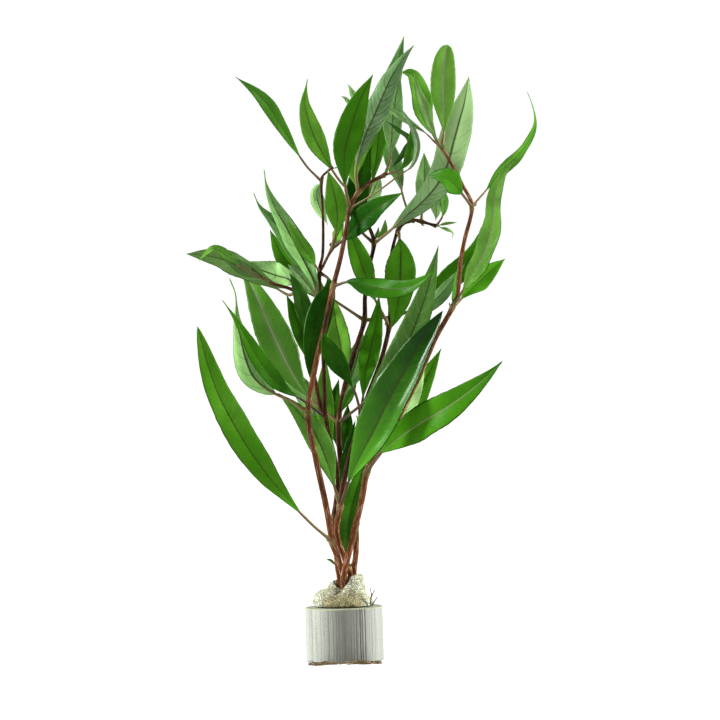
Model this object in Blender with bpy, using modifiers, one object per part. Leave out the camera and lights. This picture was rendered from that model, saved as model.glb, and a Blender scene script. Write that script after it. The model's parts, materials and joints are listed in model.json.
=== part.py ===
"""Temple plant: a bunch of stems in a foam plug, weighted by a ceramic ring.

Every leaf, every stem, the plug, the ring and the main roots are separate solids.
Tables give places as (x, height, depth) in millimetres, from the ring's axis.
Depth grows towards the back. Heights are read along a line of sight that dips a
little, so a point further back stands slightly lower than its height says.
"""

import math

import bmesh
import bpy
from mathutils import Vector

MM = 0.001
SIGHT_SLOPE = math.tan(math.radians(3.0))

# Ceramic ring
RING_RADIUS = 15.0
RING_BORE = 9.8
RING_HEIGHT = 21.0
RING_EDGE = 0.5
RING_SIDES = 48
NOTCH_RADIUS = 1.3
NOTCH_ANGLES = (-122.0, -62.0)

# Foam plug
PLUG_SIDES = 24
PLUG_LOBES = 0.3
PLUG_DIP = 3.6
PLUG_DIP_ANGLE = -97.0
PLUG_DIP_WIDTH = 26.0

# Leaves and stems
GAP = 0.35
LEAF_STEPS = 11
LEAF_THICKNESS = 0.7
PETIOLE_RADIUS = 0.45
FOLD = 0.16
FOOT_TAPER = 1.5
TIP_TAPER = 1.2
DEPTH_SPREAD = 1.5
NODE_SWELL = 0.3
NODE_LENGTH = 1.7
STEM_TAPER = 2.0
STEM_SPACING = 8.0

# Colours: base colour and roughness
RING_COLOUR = ((0.62, 0.66, 0.60), 0.9)
FOAM_COLOUR = ((0.74, 0.70, 0.50), 0.95)
STEM_COLOUR = ((0.17, 0.045, 0.015), 0.45)
ROOT_COLOUR = ((0.40, 0.26, 0.13), 0.8)
LEAF_COLOUR = ((0.035, 0.16, 0.012), 0.4)

# Stems: radius at the foot, radius at the top, then points; a name marks a node
STEMS = {
    "stem_front_left": (1.3, 0.75, [
        (0.9, 7, -1.2), (0.6, 30, -1.4), (0.1, 33.5, -2.2), (-2.3, 41.6, -4.6),
        ("A1", -3.7, 46.2, -6.0), (-5.7, 60, -8.5),
        (-9.4, 80, -11), ("A2", -11.6, 96, -12.5), (-8, 115, -13.5), (-4, 130, -14),
        ("A3", -0.5, 144.5, -14.5), (2.5, 155, -14.5), (5, 166, -14),
        ("A4", 6.5, 174, -13.5), ("A6", 10, 180, -13), (15, 184, -12.8),
        ("A5", 20.5, 186.5, -12.5),
    ]),
    "stem_back_left": (1.0, 0.4, [
        (-1.6, 7, 1.8), (-1.5, 30, 1.8), (-2.0, 35, 1.8), (-2.5, 43, 1.9), ("B0", -2.9, 55, 2.6),
        (-2.0, 61, 3.0), (-0.9, 70, 2.6), (-2.0, 79, 1.6),
        ("B2", -5, 94, -0.5), (-5.1, 105, -0.5), (-5.2, 118, 0), ("B3", -5.4, 132, 0.5),
        ("B4", -5.7, 150, 1.0), (-4.3, 157, 2.2), (-3.8, 170, 3.0), ("B5", -4, 185, 3.5),
        (-2.4, 188, 3.4), ("B6", 0.6, 190.4, 3.0),
    ]),
    "stem_middle": (1.2, 0.7, [
        (3.8, 7, 2.7), (3.9, 30, 2.8), (5.3, 42, 3.4), (5.5, 50, 4.6), (4.6, 58, 6.0),
        (2.2, 66, 6.6), (0.4, 76, 6.4), ("C1", 0, 92, 5.6), (2, 103, 6.2), ("C5", 4.2, 110.5, 6.8),
        (8, 122, 8), ("C2", 11, 131, 8.6), (11.5, 140, 9), (13, 150, 9.2),
        ("C3", 15.5, 160.5, 9.2), (13.5, 168, 9), ("C4", 11.7, 174.5, 8.6),
    ]),
    "stem_centre": (1.25, 0.5, [
        (3.2, 7, 0.4), (3.1, 30, 0.3), ("D0", 2.0, 36, -0.4), (0.6, 40.5, -1.0),
        (-1.3, 46, -2.2), (-1.9, 51.5, -3.2), ("D1", -0.3, 59.5, -4.0),
        (1.1, 68, -3.8), (4, 79, -2.5), ("D2", 8.5, 93, 0.6), (12, 103, 3.2), (17, 115.5, 6.4),
        ("D3", 20.5, 128.5, 8.6), (21.2, 140, 9.2), (21.6, 153, 9.3), ("D4", 25, 165.5, 8.6),
        ("D5", 30, 169, 8.2), ("D6", 34, 168.5, 8.0), ("D7", 39.8, 166.6, 7.6),
    ]),
    "stem_right": (1.3, 0.6, [
        (-0.1, 7, -3.9), (-0.2, 28.5, -3.9), (1.3, 37, -5.6), (3.1, 43.5, -6.2), (5.5, 52.4, -6.6),
        (8.1, 62, -6.9), ("E1", 10.3, 72.5, -7),
        (13, 77, -6.3), ("E5", 17.5, 83, -4.2), (24, 95, -1.2), (31, 108, 1.2), (38, 123, 2.6),
        ("E2", 45, 135, 3.0), (47.4, 142, 2.4), (48.3, 151, 1.4), (50.4, 161, 0),
        ("E3", 53.5, 173.5, -3), (50, 182, -7), (45, 192, -10), ("E4", 42.5, 196, -11),
    ]),
    "branch_far_left": (0.85, 0.5, [
        (-6.6, 97.3, 1.8), (-8.6, 108, 4.0), (-10.6, 121, 5.0), (-12, 134, 5.0),
        ("F1", -14.5, 142.4, 4.5), ("F2", -25, 146.8, 3.8), (-32, 152, 3.2),
    ]),
    "shoot_inner": (0.6, 0.45, [
        (-4.4, 152.1, -0.9), (-3.0, 154.8, -2.3), ("H1", -0.6, 159, -3.6), (0.5, 160.6, -4.0),
    ]),
}

# Leaves: node, width, turn at the foot and tip in degrees, petiole share, widest place,
# midrib points. Turn 0 shows the upper side to the front, and turn 180 the underside.
LEAVES = {
    "leaf_front_left_1": ("A1", 11.4, 22, 12, 0.14, 0.45, [
        (-10.8, 52.7, -12), (-16.8, 59.2, -15), (-22.6, 66.2, -17), (-28.4, 73.6, -19),
        (-35.2, 84, -21), (-41.2, 95, -23), (-45.8, 105, -25), (-49, 115, -26), (-51, 123, -26),
        (-52.7, 130.5, -26)]),
    "leaf_front_left_2": ("A2", 10.6, 165, 175, 0.18, 0.3, [
        (-18, 100.8, -12.5), (-23, 103.2, -12), (-28, 106.2, -11.5), (-32.5, 111, -11),
        (-35, 117.6, -10.5), (-36.6, 125, -10.5), (-37.8, 132, -10.5), (-37.9, 138, -10.5),
        (-38.3, 143, -10.5), (-40.5, 149, -10.5)]),
    "leaf_front_left_3": ("A3", 8.4, -32, -18, 0.06, 0.4, [
        (6, 145.9, -20), (12, 143.9, -25), (20, 142.4, -31), (27, 142.8, -35),
        (33, 145.3, -39), (38.6, 149.3, -42)]),
    "leaf_front_left_4": ("A4", 10.6, 0, 0, 0.1, 0.46, [
        (5.2, 182, -16), (4.9, 190, -17.5), (5.6, 197, -18.5), (7.6, 204, -19), (10, 211, -19),
        (13, 218, -19), (17, 225, -19)]),
    "leaf_front_left_5": ("A4", 2.6, 150, 165, 0.45, 0.4, [
        (15, 178.6, -18), (20, 181.8, -20.5), (26, 186.1, -21.5), (30.6, 189.2, -21),
        (32.8, 195, -21), (32.4, 201, -20.5), (29.8, 207, -20), (25.8, 213.5, -19)]),
    "leaf_front_left_6": ("A5", 3.8, 10, -10, 0.12, 0.5, [
        (25, 187.7, -14.5), (28.6, 190.8, -15.5), (30.7, 196.5, -16), (30.8, 204.5, -16)]),
    "leaf_front_left_7": ("A5", 7.6, 175, 180, 0.14, 0.45, [
        (22.6, 192.3, -10), (23.4, 200, -8), (24, 208, -7), (25.4, 216, -6.5),
        (27.5, 225.5, -6.5)]),
    "leaf_front_left_8": ("A6", 9.2, 176, 165, 0.08, 0.45, [
        (9.4, 187, -13.5), (10.6, 194, -14), (13.2, 201.5, -14.5), (16.8, 209, -14.5),
        (20.5, 217, -14), (24.5, 225, -13.5), (28.5, 230.8, -13), (33.2, 236.2, -12.5)]),
    "leaf_back_left_1": ("B2", 7.0, 20, 26, 0.16, 0.4, [
        (-13, 100.6, -3.5), (-19.6, 105, -7.5), (-25, 110, -11), (-30, 117.2, -13.5),
        (-34.2, 125, -15), (-38, 132.4, -15.5), (-43.3, 140.6, -15.5)]),
    "leaf_back_left_2": ("B3", 9.0, 150, 170, 0.06, 0.42, [
        (-6.8, 139, -1.6), (-7.8, 146, -1.4), (-10.8, 153, -0.4), (-14.6, 160.5, 0.2),
        (-18.2, 168, 0.4), (-22, 175, 0), (-25, 183, 0), (-26, 190.5, 0)]),
    "leaf_back_left_3": ("B4", 9.8, 12, -8, 0.06, 0.42, [
        (-2.4, 147.2, -3.2), (-2.4, 142.6, -5.2), (-4.4, 137.8, -6.6), (-6.8, 131, -7.4),
        (-8.6, 123.5, -7.6), (-9.8, 115, -7), (-9.8, 106.5, -6)]),
    "leaf_back_left_4": ("B4", 5.6, 20, 10, 0.16, 0.45, [
        (-8.4, 154.8, -5.4), (-12.2, 160.6, -7.4), (-14.7, 165, -8), (-17.8, 170.4, -8.4)]),
    "leaf_back_left_5": ("B5", 5.8, 18, 22, 0.18, 0.58, [
        (-9.6, 191, 0.5), (-14.4, 198.6, -3), (-19, 206.6, -5), (-23, 213.4, -7),
        (-28.6, 219.8, -9), (-36, 225.8, -10.5)]),
    "leaf_inner_1": ("H1", 8.8, 5, 0, 0.08, 0.42, [
        (1.4, 167, -6.2), (1.7, 173, -7.4), (0.8, 180, -8), (-1.4, 189, -8)]),
    "leaf_inner_2": ("H1", 9.4, -28, -20, 0.05, 0.4, [
        (5.7, 163.6, -7.6), (10, 168, -10.4), (15, 172.2, -13.8), (20, 175.6, -17.5),
        (27.2, 179.4, -21)]),
    "leaf_middle_1": ("C4", 8.0, 10, -10, 0.24, 0.45, [
        (8.4, 179.4, 8.4), (4.2, 183.6, 7.6), (0.8, 188.4, 6.8), (-3.1, 195.4, 4.4),
        (-6.6, 203, 2.4), (-9, 211.6, 1), (-9.4, 217, 0.4), (-8.2, 224.6, 0)]),
    "leaf_middle_2": ("C1", 13.6, 14, 4, 0.16, 0.42, [
        (-7, 98, 8), (-12.4, 103.6, 9.5), (-17.6, 111.7, 10.5), (-21.6, 120.2, 11.5),
        (-25.8, 130, 13), (-29.7, 140, 15), (-33.1, 147.5, 17), (-37, 153.4, 19)]),
    "leaf_middle_3": ("C1", 11.2, -12, -4, 0.16, 0.42, [
        (5, 95.6, 0), (9.5, 99, -4), (13, 101.8, -6.5), (17.2, 107, -8.5), (22.4, 113.5, -10),
        (26.8, 121, -11), (31, 130, -11.5), (34.4, 139, -11.5), (37.2, 148, -11),
        (40.2, 159, -10)]),
    "leaf_middle_4": ("C5", 9.0, -18, -10, 0.06, 0.45, [
        (2.8, 115, 2.4), (1.4, 123, 1.2), (0, 131, 1.2), (-0.6, 139, 2)]),
    "leaf_middle_5": ("C2", 9.4, -8, 12, 0.26, 0.42, [
        (4, 136, 8.5), (-3, 141, 11), (-10, 147, 13), (-17.3, 153.7, 14.5), (-21.5, 160, 16),
        (-24.6, 167.4, 17.5)]),
    "leaf_middle_6": ("C2", 9.0, -18, -10, 0.28, 0.45, [
        (18, 131.8, 12.2), (25, 132.8, 13.6), (31, 135.8, 14.8), (38, 140.8, 16),
        (44.5, 146, 17.2), (50.4, 151.2, 18), (55.5, 158, 18), (59.4, 168.8, 17)]),
    "leaf_middle_7": ("C3", 12.0, 172, 185, 0.1, 0.64, [
        (22, 165.4, 5), (28, 170.6, 2.5), (34, 175.4, 0.5), (40, 181.8, -1), (44.2, 189, -1.6),
        (47, 198, -1.4), (49.4, 206, -0.6), (51.8, 214, 0.4), (53.8, 224, 1.6)]),
    "leaf_middle_8": ("C3", 9.0, -8, -5, 0.12, 0.45, [
        (11, 165.2, 5), (9.2, 171, 3), (9.6, 179, 1.4), (11.2, 187, 0.6), (13.2, 195.5, 0.6),
        (17, 203.4, 0.8)]),
    "leaf_middle_9": ("C4", 7.0, 0, 5, 0.2, 0.7, [
        (14.6, 181, 5), (16, 186.5, 3.6), (17.4, 194, 3.6), (18.6, 203, 3.8), (19.8, 214, 4)]),
    "leaf_middle_10": ("C4", 8.6, 178, 172, 0.1, 0.5, [
        (12, 186, 11), (14.5, 197, 12.5), (18.5, 208, 13), (22.6, 219, 12), (26.4, 230, 10),
        (29.4, 240.4, 8)]),
    "leaf_centre_1": ("D1", 9.4, 12, 8, 0.04, 0.45, [
        (-2.7, 69, -6.2), (-4.5, 76, -6.4), (-7.4, 84, -6), (-11.2, 91, -5.4), (-16.6, 98, -4.6),
        (-23.2, 104.2, -4)]),
    "leaf_centre_2": ("D1", 15.6, -12, -8, 0.05, 0.46, [
        (4, 71, -9), (8, 79, -13), (12.4, 87, -16.5), (16.6, 95, -19), (20.6, 102.5, -21),
        (25.8, 111, -22.5), (31.4, 120, -23.5), (36.8, 127.6, -24.5), (41, 133.8, -25)]),
    "leaf_centre_3": ("D2", 8.0, -12, -4, 0.3, 0.6, [
        (8, 98, -1.4), (6.4, 104, -4.4), (3, 110.4, -7), (-0.4, 116.4, -9),
        (-3.4, 122, -11), (-5.2, 127, -10.6)]),
    "leaf_centre_4": ("D2", 7.8, -8, 10, 0.05, 0.45, [
        (10.0, 104, -0.8), (11.2, 112, -1.4), (13.6, 122, -1.2), (15.6, 131, -0.6),
        (17, 141, 0.4)]),
    "leaf_centre_5": ("D3", 8.4, 8, 12, 0.2, 0.5, [
        (16.6, 136.5, 5.6), (13.8, 142, 4.6), (12.2, 147.5, 4), (10.2, 153.5, 3.4), (8, 160, 3),
        (5.2, 168, 3)]),
    "leaf_centre_6": ("D4", 12.0, 4, -4, 0.03, 0.42, [
        (25.8, 158, 4.4), (25.4, 150, 2.8), (24.8, 142, 2.4), (23.6, 135, 2.6),
        (21.6, 128, 3.2)]),
    "leaf_centre_7": ("D5", 6.4, 172, 178, 0.24, 0.45, [
        (27.2, 178.5, 8), (26, 185, 8), (23.8, 192, 8), (21.4, 200, 8.6), (19.6, 207.4, 9.4)]),
    "leaf_centre_8": ("D6", 6.8, 176, 170, 0.04, 0.5, [
        (34.8, 176, 9.4), (35.6, 185, 10.4), (35.8, 195.4, 11.4)]),
    "leaf_centre_9": ("D7", 4.6, 20, 60, 0.2, 0.5, [
        (42.2, 170.4, 5.6), (42.9, 175, 4.6), (41.8, 182, 4)]),
    "leaf_centre_10": ("D0", 8.4, 8, 0, 0.04, 0.42, [
        (1.8, 39.6, 0.4), (2.0, 44.5, 1.0), (2.6, 51, 1.4), (3.8, 58.2, 1.8), (5.8, 65, 2.8),
        (8.2, 72, 4.4), (10.4, 79, 5.6)]),
    "leaf_right_1": ("E1", 13.2, -22, -16, 0.04, 0.42, [
        (15, 79.4, -10), (20, 83, -13.5), (26, 87.5, -18.5), (33, 91.9, -24), (41, 96.3, -29),
        (50, 102.5, -33), (57, 108.2, -36), (63.2, 114.1, -38)]),
    "leaf_right_2": ("E5", 7.0, 172, 178, 0.1, 0.45, [
        (22, 90, 1.6), (27, 98.5, 3.6), (31, 107, 5.6), (34, 114.5, 7.4)]),
    "leaf_right_3": ("E5", 9.4, -10, -8, 0.08, 0.45, [
        (24, 90.5, 7), (29, 99, 12), (33.5, 107, 15), (37.5, 114, 17), (40.6, 119.6, 18)]),
    "leaf_right_4": ("E2", 9.2, -22, -34, 0.06, 0.34, [
        (52.4, 146.4, -4), (56.6, 153, -6.4), (59.6, 160, -7.6), (61.6, 168, -8.4),
        (62.8, 178, -8.6), (65.8, 185.6, -7.6), (71.9, 192.5, -5.6)]),
    "leaf_right_5": ("E2", 8.0, -18, -26, 0.06, 0.42, [
        (52, 141.4, 9), (57, 145.8, 15), (62, 150.2, 20), (66.3, 153.6, 24)]),
    "leaf_right_6": ("E3", 8.8, 20, 20, 0.24, 0.45, [
        (49.6, 178.6, -10), (46, 182.8, -15), (42, 185.0, -19), (37, 185.6, -23)]),
    "leaf_right_7": ("E3", 4.5, -14, 64, 0.13, 0.32, [
        (59.6, 180.2, 2), (63.6, 185.4, 4), (67.6, 189.2, 5), (71.8, 193.2, 6),
        (75.8, 198.2, 7), (78.2, 203.2, 7.4), (78.8, 208, 7.4), (77.8, 213, 7.4),
        (76, 217.8, 7)]),
    "leaf_right_8": ("E4", 9.8, 4, 0, 0.06, 0.54, [
        (43.5, 203, -10), (43.6, 211, -9), (43.6, 219, -8), (44.2, 228, -6.6), (45.7, 236.1, -5)]),
    "leaf_right_9": ("E4", 8.4, 12, 30, 0.05, 0.5, [
        (38.4, 203.2, -14), (36.2, 209, -16), (35, 215, -17), (33.6, 221, -17.4),
        (31.4, 224.6, -17.4), (27.8, 225.4, -17.4)]),
    "leaf_right_10": ("E4", 2.8, 172, 170, 0.1, 0.62, [
        (36, 202.5, -10.6), (31, 206, -11), (26, 209.6, -11.6), (20.8, 213, -11)]),
    "leaf_far_left_1": ("F1", 10.4, 160, 168, 0.06, 0.42, [
        (-17.5, 147.6, 9), (-22.5, 149.4, 12), (-27.2, 151.2, 13.5), (-31.5, 153, 13.8),
        (-35.6, 155.6, 13.8)]),
    "leaf_far_left_2": ("F1", 8.8, 20, 20, 0.1, 0.55, [
        (-18.4, 141.8, 6.2), (-24, 145.4, 8.4), (-31, 149.6, 9), (-38, 153.6, 8.6), (-46, 157, 7.6),
        (-57.2, 158.6, 6.4)]),
    "leaf_far_left_3": ("F2", 4.4, 30, 55, 0.34, 0.45, [
        (-31.6, 150, 0.8), (-37.4, 154.4, -0.8), (-42.6, 158.2, -1.6), (-46.2, 160, -2),
        (-49.2, 158.2, -2), (-51.9, 155.4, -2)]),
    "leaf_far_left_4": ("B3", 7.6, 168, 172, 0.08, 0.45, [
        (-9.2, 148, 4.6), (-13.4, 156.5, 5), (-19.2, 165.4, 5), (-23.8, 171.2, 5),
        (-28, 176, 5), (-30.4, 181.6, 5)]),
}

# Leaves whose tips are rounder (low) or drawn out to a longer tail (high) than TIP_TAPER
TIPS = {
    "leaf_front_left_1": 0.8,
    "leaf_front_left_2": 3.0, "leaf_back_left_1": 1.6, "leaf_back_left_2": 1.8,
    "leaf_back_left_5": 1.5, "leaf_far_left_4": 1.8, "leaf_middle_1": 1.7,
    "leaf_middle_4": 0.7, "leaf_middle_9": 1.6, "leaf_right_4": 1.0, "leaf_right_7": 1.8,
    "leaf_right_8": 0.5, "leaf_right_9": 0.8, "leaf_centre_2": 0.9, "leaf_centre_6": 1.0,
}

# Leaves whose blades start broader (low) at the foot than FOOT_TAPER
FEET = {"leaf_centre_10": 0.6, "leaf_front_left_2": 1.0, "leaf_middle_7": 1.0}

# Foam plug's section at the left and at the right: radius and height at each, and how loose
# the foam is there. It runs up the outside, over the lip and down the bore.
PLUG = [
    (9.4, 4.0, 9.4, 4.0, 0.0), (9.4, 20.2, 9.4, 20.2, 0.0), (9.5, 21.4, 9.5, 21.4, 0.0),
    (11.0, 21.5, 11.2, 21.5, 0.0), (11.6, 23.4, 10.7, 23.2, 0.2), (11.0, 25.6, 8.8, 26.0, 0.4),
    (8.9, 26.9, 8.0, 29.2, 0.6), (5.8, 28.2, 7.7, 32.0, 0.9), (4.8, 30.2, 6.9, 33.5, 1.0),
    (4.5, 28.8, 6.5, 32.0, 0.8), (5.8, 25.0, 6.1, 26.0, 0.2), (6.0, 4.0, 6.0, 4.0, 0.0),
]

# Main roots that leave through the ring's notches and lie on the surface, (x, y, z)
ROOT_RADIUS = 0.4
ROOTS = {
    "root_left": [
        (-2.6, -4.2, 2.6), (-3.7, -6.0, 1.8), (-5.0, -8.0, 0.62), (-6.6, -10.6, 0.6),
        (-8.2, -13.1, 0.6), (-9.3, -15.8, 0.58), (-11.2, -17.8, 0.55), (-12.0, -20.4, 0.55), (-14.4, -22.0, 0.55)],
    "root_right": [
        (2.4, -4.4, 2.6), (3.2, -6.0, 1.8), (4.3, -8.1, 0.62), (5.6, -10.6, 0.6),
        (7.1, -13.4, 0.6), (7.9, -15.8, 0.58), (9.4, -17.6, 0.55), (9.9, -20.2, 0.55), (12.4, -23.4, 0.55)],
}


def place(point):
    """Return a table point as a position in metres."""
    x, height, depth = point
    return Vector((x, depth, height - depth * SIGHT_SLOPE)) * MM


def curve_point(points, at):
    """Return the point at parameter at (0 to 1) of a smooth curve through points."""
    last = len(points) - 1
    span = min(int(at * last), last - 1)
    t = at * last - span
    p1, p2 = points[span], points[span + 1]
    p0 = points[span - 1] if span else p1 * 2 - p2
    p3 = points[span + 2] if span + 2 <= last else p2 * 2 - p1
    return 0.5 * (2 * p1 + (p2 - p0) * t + (2 * p0 - 5 * p1 + 4 * p2 - p3) * t * t
                  + (3 * p1 - p0 - 3 * p2 + p3) * t ** 3)


def even_points(points, count):
    """Return count points, evenly spaced along the smooth curve through points."""
    fine = [curve_point(points, i / 200) for i in range(201)]
    lengths = [0.0]
    for before, after in zip(fine, fine[1:]):
        lengths.append(lengths[-1] + (after - before).length)
    result = []
    step = 0
    for i in range(count):
        wanted = lengths[-1] * i / (count - 1)
        while step < 199 and lengths[step + 1] < wanted:
            step += 1
        share = (wanted - lengths[step]) / (lengths[step + 1] - lengths[step])
        result.append(fine[step].lerp(fine[step + 1], min(share, 1.0)))
    return result


def tangents(points):
    """Return the unit direction of a chain of points at each of them."""
    last = len(points) - 1
    return [(points[min(i + 1, last)] - points[max(i - 1, 0)]).normalized()
            for i in range(last + 1)]


def material(name, colour):
    base, roughness = colour
    made = bpy.data.materials.new(name)
    made.use_nodes = True
    shader = made.node_tree.nodes["Principled BSDF"]
    shader.inputs["Base Color"].default_value = (*base, 1.0)
    shader.inputs["Roughness"].default_value = roughness
    shader.inputs["Metallic"].default_value = 0.0
    return made


def add_object(name, data, colour, collection):
    part = bpy.data.objects.new(name, data)
    data.materials.append(material(name, colour))
    collection.objects.link(part)
    return part


def mesh_from(name, vertices, faces):
    mesh = bpy.data.meshes.new(name)
    mesh.from_pydata(vertices, [], faces)
    bm = bmesh.new()
    bm.from_mesh(mesh)
    bmesh.ops.recalc_face_normals(bm, faces=bm.faces)
    bm.to_mesh(mesh)
    bm.free()
    return mesh


# Stems


def stem_points(table):
    return [place(point[-3:]) for point in table]


def stem_radii(path, node_places, foot, top):
    """Return the radius at each point of a stem, swollen at its nodes."""
    lengths = [0.0]
    for before, after in zip(path, path[1:]):
        lengths.append(lengths[-1] + (after - before).length)
    radii = []
    for point, length in zip(path, lengths):
        near = min([(point - node).length / (NODE_LENGTH * MM) for node in node_places] + [9.0])
        plain = foot + (top - foot) * (length / lengths[-1]) ** STEM_TAPER
        radii.append((plain + NODE_SWELL * math.exp(-near * near)) * MM)
    return radii


def stem_path(points, node_places):
    """Return a stem's centre line, with a point at each node and on both its sides."""
    total = sum((after - before).length for before, after in zip(points, points[1:]))
    even = even_points(points, int(total / (STEM_SPACING * MM)) + 2)
    fine = even_points(points, 600)
    reach = NODE_LENGTH * MM * 1.5
    kept = [p for p in even
            if all((p - node).length > reach * 1.6 for node in node_places)
            or p in (even[0], even[-1])]
    for node in node_places:
        nearest = min(range(600), key=lambda i: (fine[i] - node).length)
        steps = max(1, int(reach / (total / 599)))
        for index in (nearest - steps, nearest, nearest + steps):
            if 2 < index < 597:
                kept.append(fine[index])
    order = {tuple(p): min(range(600), key=lambda i: (fine[i] - p).length) for p in kept}
    return sorted(kept, key=lambda p: order[tuple(p)])


def tube(name, path, radii, colour, collection, resolution=1):
    curve = bpy.data.curves.new(name, "CURVE")
    curve.dimensions = "3D"
    curve.bevel_depth = 1.0
    curve.bevel_resolution = resolution
    curve.use_fill_caps = True
    spline = curve.splines.new("POLY")
    spline.points.add(len(path) - 1)
    for spot, point, radius in zip(spline.points, path, radii):
        spot.co = (*point, 1.0)
        spot.radius = radius
    return add_object(name, curve, colour, collection)


def make_stems(collection):
    """Make every stem, and return each node's place, direction and radius."""
    nodes = {}
    for name, (foot, top, table) in STEMS.items():
        points = stem_points(table)
        named = {row[0]: place(row[-3:]) for row in table if len(row) == 4}
        path = stem_path(points, list(named.values()))
        tube(name, path, stem_radii(path, list(named.values()), foot, top),
             STEM_COLOUR, collection)
        ways = tangents(path)
        for key, spot in named.items():
            nearest = min(range(len(path)), key=lambda i: (path[i] - spot).length)
            share = nearest / (len(path) - 1)
            radius = (foot + (top - foot) * share ** STEM_TAPER + NODE_SWELL) * MM
            nodes[key] = (spot, ways[nearest], radius)
    return nodes


# Leaves


def leaf_start(node, towards):
    """Return where a petiole starts, just clear of the stem that carries it."""
    spot, way, radius = node
    line = (towards - spot).normalized()
    along = abs(line.dot(way))
    across = max(math.sqrt(max(1.0 - along * along, 0.0)), 0.4)
    reach = (radius + (GAP + PETIOLE_RADIUS * along) * MM) / across
    return spot + line * reach


def leaf_points(node, table):
    """Return a leaf's midrib points, spread in depth away from the node it grows from."""
    node_depth = node[0].y / MM
    spread = [(x, height, node_depth + (depth - node_depth) * DEPTH_SPREAD)
              for x, height, depth in table]
    return [place(point) for point in spread]


def swell(at, power):
    """Return a smooth rise from 0 to 1, slow to start where power is high."""
    return (1.0 + power) * at ** power - power * at ** (1.0 + power)


def blade_share(at, petiole, widest, tip, foot):
    """Return the blade's width, as a share of its widest, at a share of the length."""
    if at <= petiole:
        return 0.0
    along = (at - petiole) / (1.0 - petiole)
    if along < widest:
        return swell(along / widest, foot)
    return swell((1.0 - along) / (1.0 - widest), tip)


def leaf_frame(way, turn):
    """Return a leaf's normal and its side direction, turned about its midrib."""
    front = Vector((0.0, -1.0, 0.0))
    normal = (front - way * front.dot(way)).normalized()
    side = way.cross(normal)
    turned = normal * math.cos(turn) + side * math.sin(turn)
    return turned, way.cross(turned)


def make_leaf(name, row, nodes, collection):
    """Make one leaf: a thin folded blade on its petiole."""
    node_name, width, foot_turn, tip_turn, petiole, widest, table = row
    foot_taper = FEET.get(name, FOOT_TAPER)
    points = leaf_points(nodes[node_name], table)
    start = leaf_start(nodes[node_name], points[0])
    path = even_points([start] + points, LEAF_STEPS + 1)
    ways = tangents(path)
    vertices = []
    for i in range(LEAF_STEPS):
        at = i / LEAF_STEPS
        turn = math.radians(foot_turn + (tip_turn - foot_turn) * at)
        normal, side = leaf_frame(ways[i], turn)
        share = blade_share(at, petiole, widest, TIPS.get(name, TIP_TAPER), foot_taper)
        half = max(width / 2 * share, PETIOLE_RADIUS) * MM
        lift = FOLD * width / 2 * share * MM
        thick = max(PETIOLE_RADIUS * (1 - share), LEAF_THICKNESS / 2) * MM
        vertices.append(path[i] + side * half + normal * lift)
        vertices.append(path[i] + normal * thick)
        vertices.append(path[i] - side * half + normal * lift)
        vertices.append(path[i] - normal * thick)
    vertices.append(path[-1])
    faces = [(3, 2, 1, 0)]
    for i in range(LEAF_STEPS - 1):
        for k in range(4):
            a = 4 * i + k
            b = 4 * i + (k + 1) % 4
            faces.append((a, b, b + 4))
            faces.append((a, b + 4, a + 4))
    last = 4 * (LEAF_STEPS - 1)
    for k in range(4):
        faces.append((last + k, last + (k + 1) % 4, len(vertices) - 1))
    add_object(name, mesh_from(name, vertices, faces), LEAF_COLOUR, collection)


# Ring, plug and roots


def make_ring(collection, cutters):
    """Make the weighting ring: a turned tube with two root notches in its foot."""
    e = RING_EDGE
    outer = [(RING_RADIUS - e, RING_HEIGHT), (RING_RADIUS, RING_HEIGHT - e), (RING_RADIUS, e),
             (RING_RADIUS - e, 0.0)]
    inner = [(RING_BORE + e, 0.0), (RING_BORE, e), (RING_BORE, RING_HEIGHT - e),
             (RING_BORE + e, RING_HEIGHT)]
    profile = [(x * MM, 0.0, z * MM) for x, z in outer + inner]
    edges = [(i, (i + 1) % len(profile)) for i in range(len(profile))]
    mesh = bpy.data.meshes.new("ring")
    mesh.from_pydata(profile, edges, [])
    ring = add_object("ring", mesh, RING_COLOUR, collection)
    screw = ring.modifiers.new("turn", "SCREW")
    screw.steps = RING_SIDES
    screw.render_steps = RING_SIDES
    screw.use_merge_vertices = True
    screw.merge_threshold = 0.00001
    for angle in NOTCH_ANGLES:
        notch = make_notch(angle, cutters)
        cut = ring.modifiers.new("notch", "BOOLEAN")
        cut.operation = "DIFFERENCE"
        cut.object = notch


def make_notch(angle, cutters):
    """Make the round cutter of one root notch, lying along a radius of the ring."""
    bpy.ops.mesh.primitive_cylinder_add(
        vertices=12, radius=NOTCH_RADIUS * MM, depth=RING_RADIUS * MM)
    notch = bpy.context.object
    notch.name = "notch_cutter"
    way = Vector((math.cos(math.radians(angle)), math.sin(math.radians(angle)), 0.0))
    notch.rotation_euler = way.to_track_quat("Z", "Y").to_euler()
    notch.location = way * RING_RADIUS * 0.85 * MM
    notch.hide_render = True
    notch.display_type = "WIRE"
    for holder in list(notch.users_collection):
        holder.objects.unlink(notch)
    cutters.objects.link(notch)
    return notch


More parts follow.
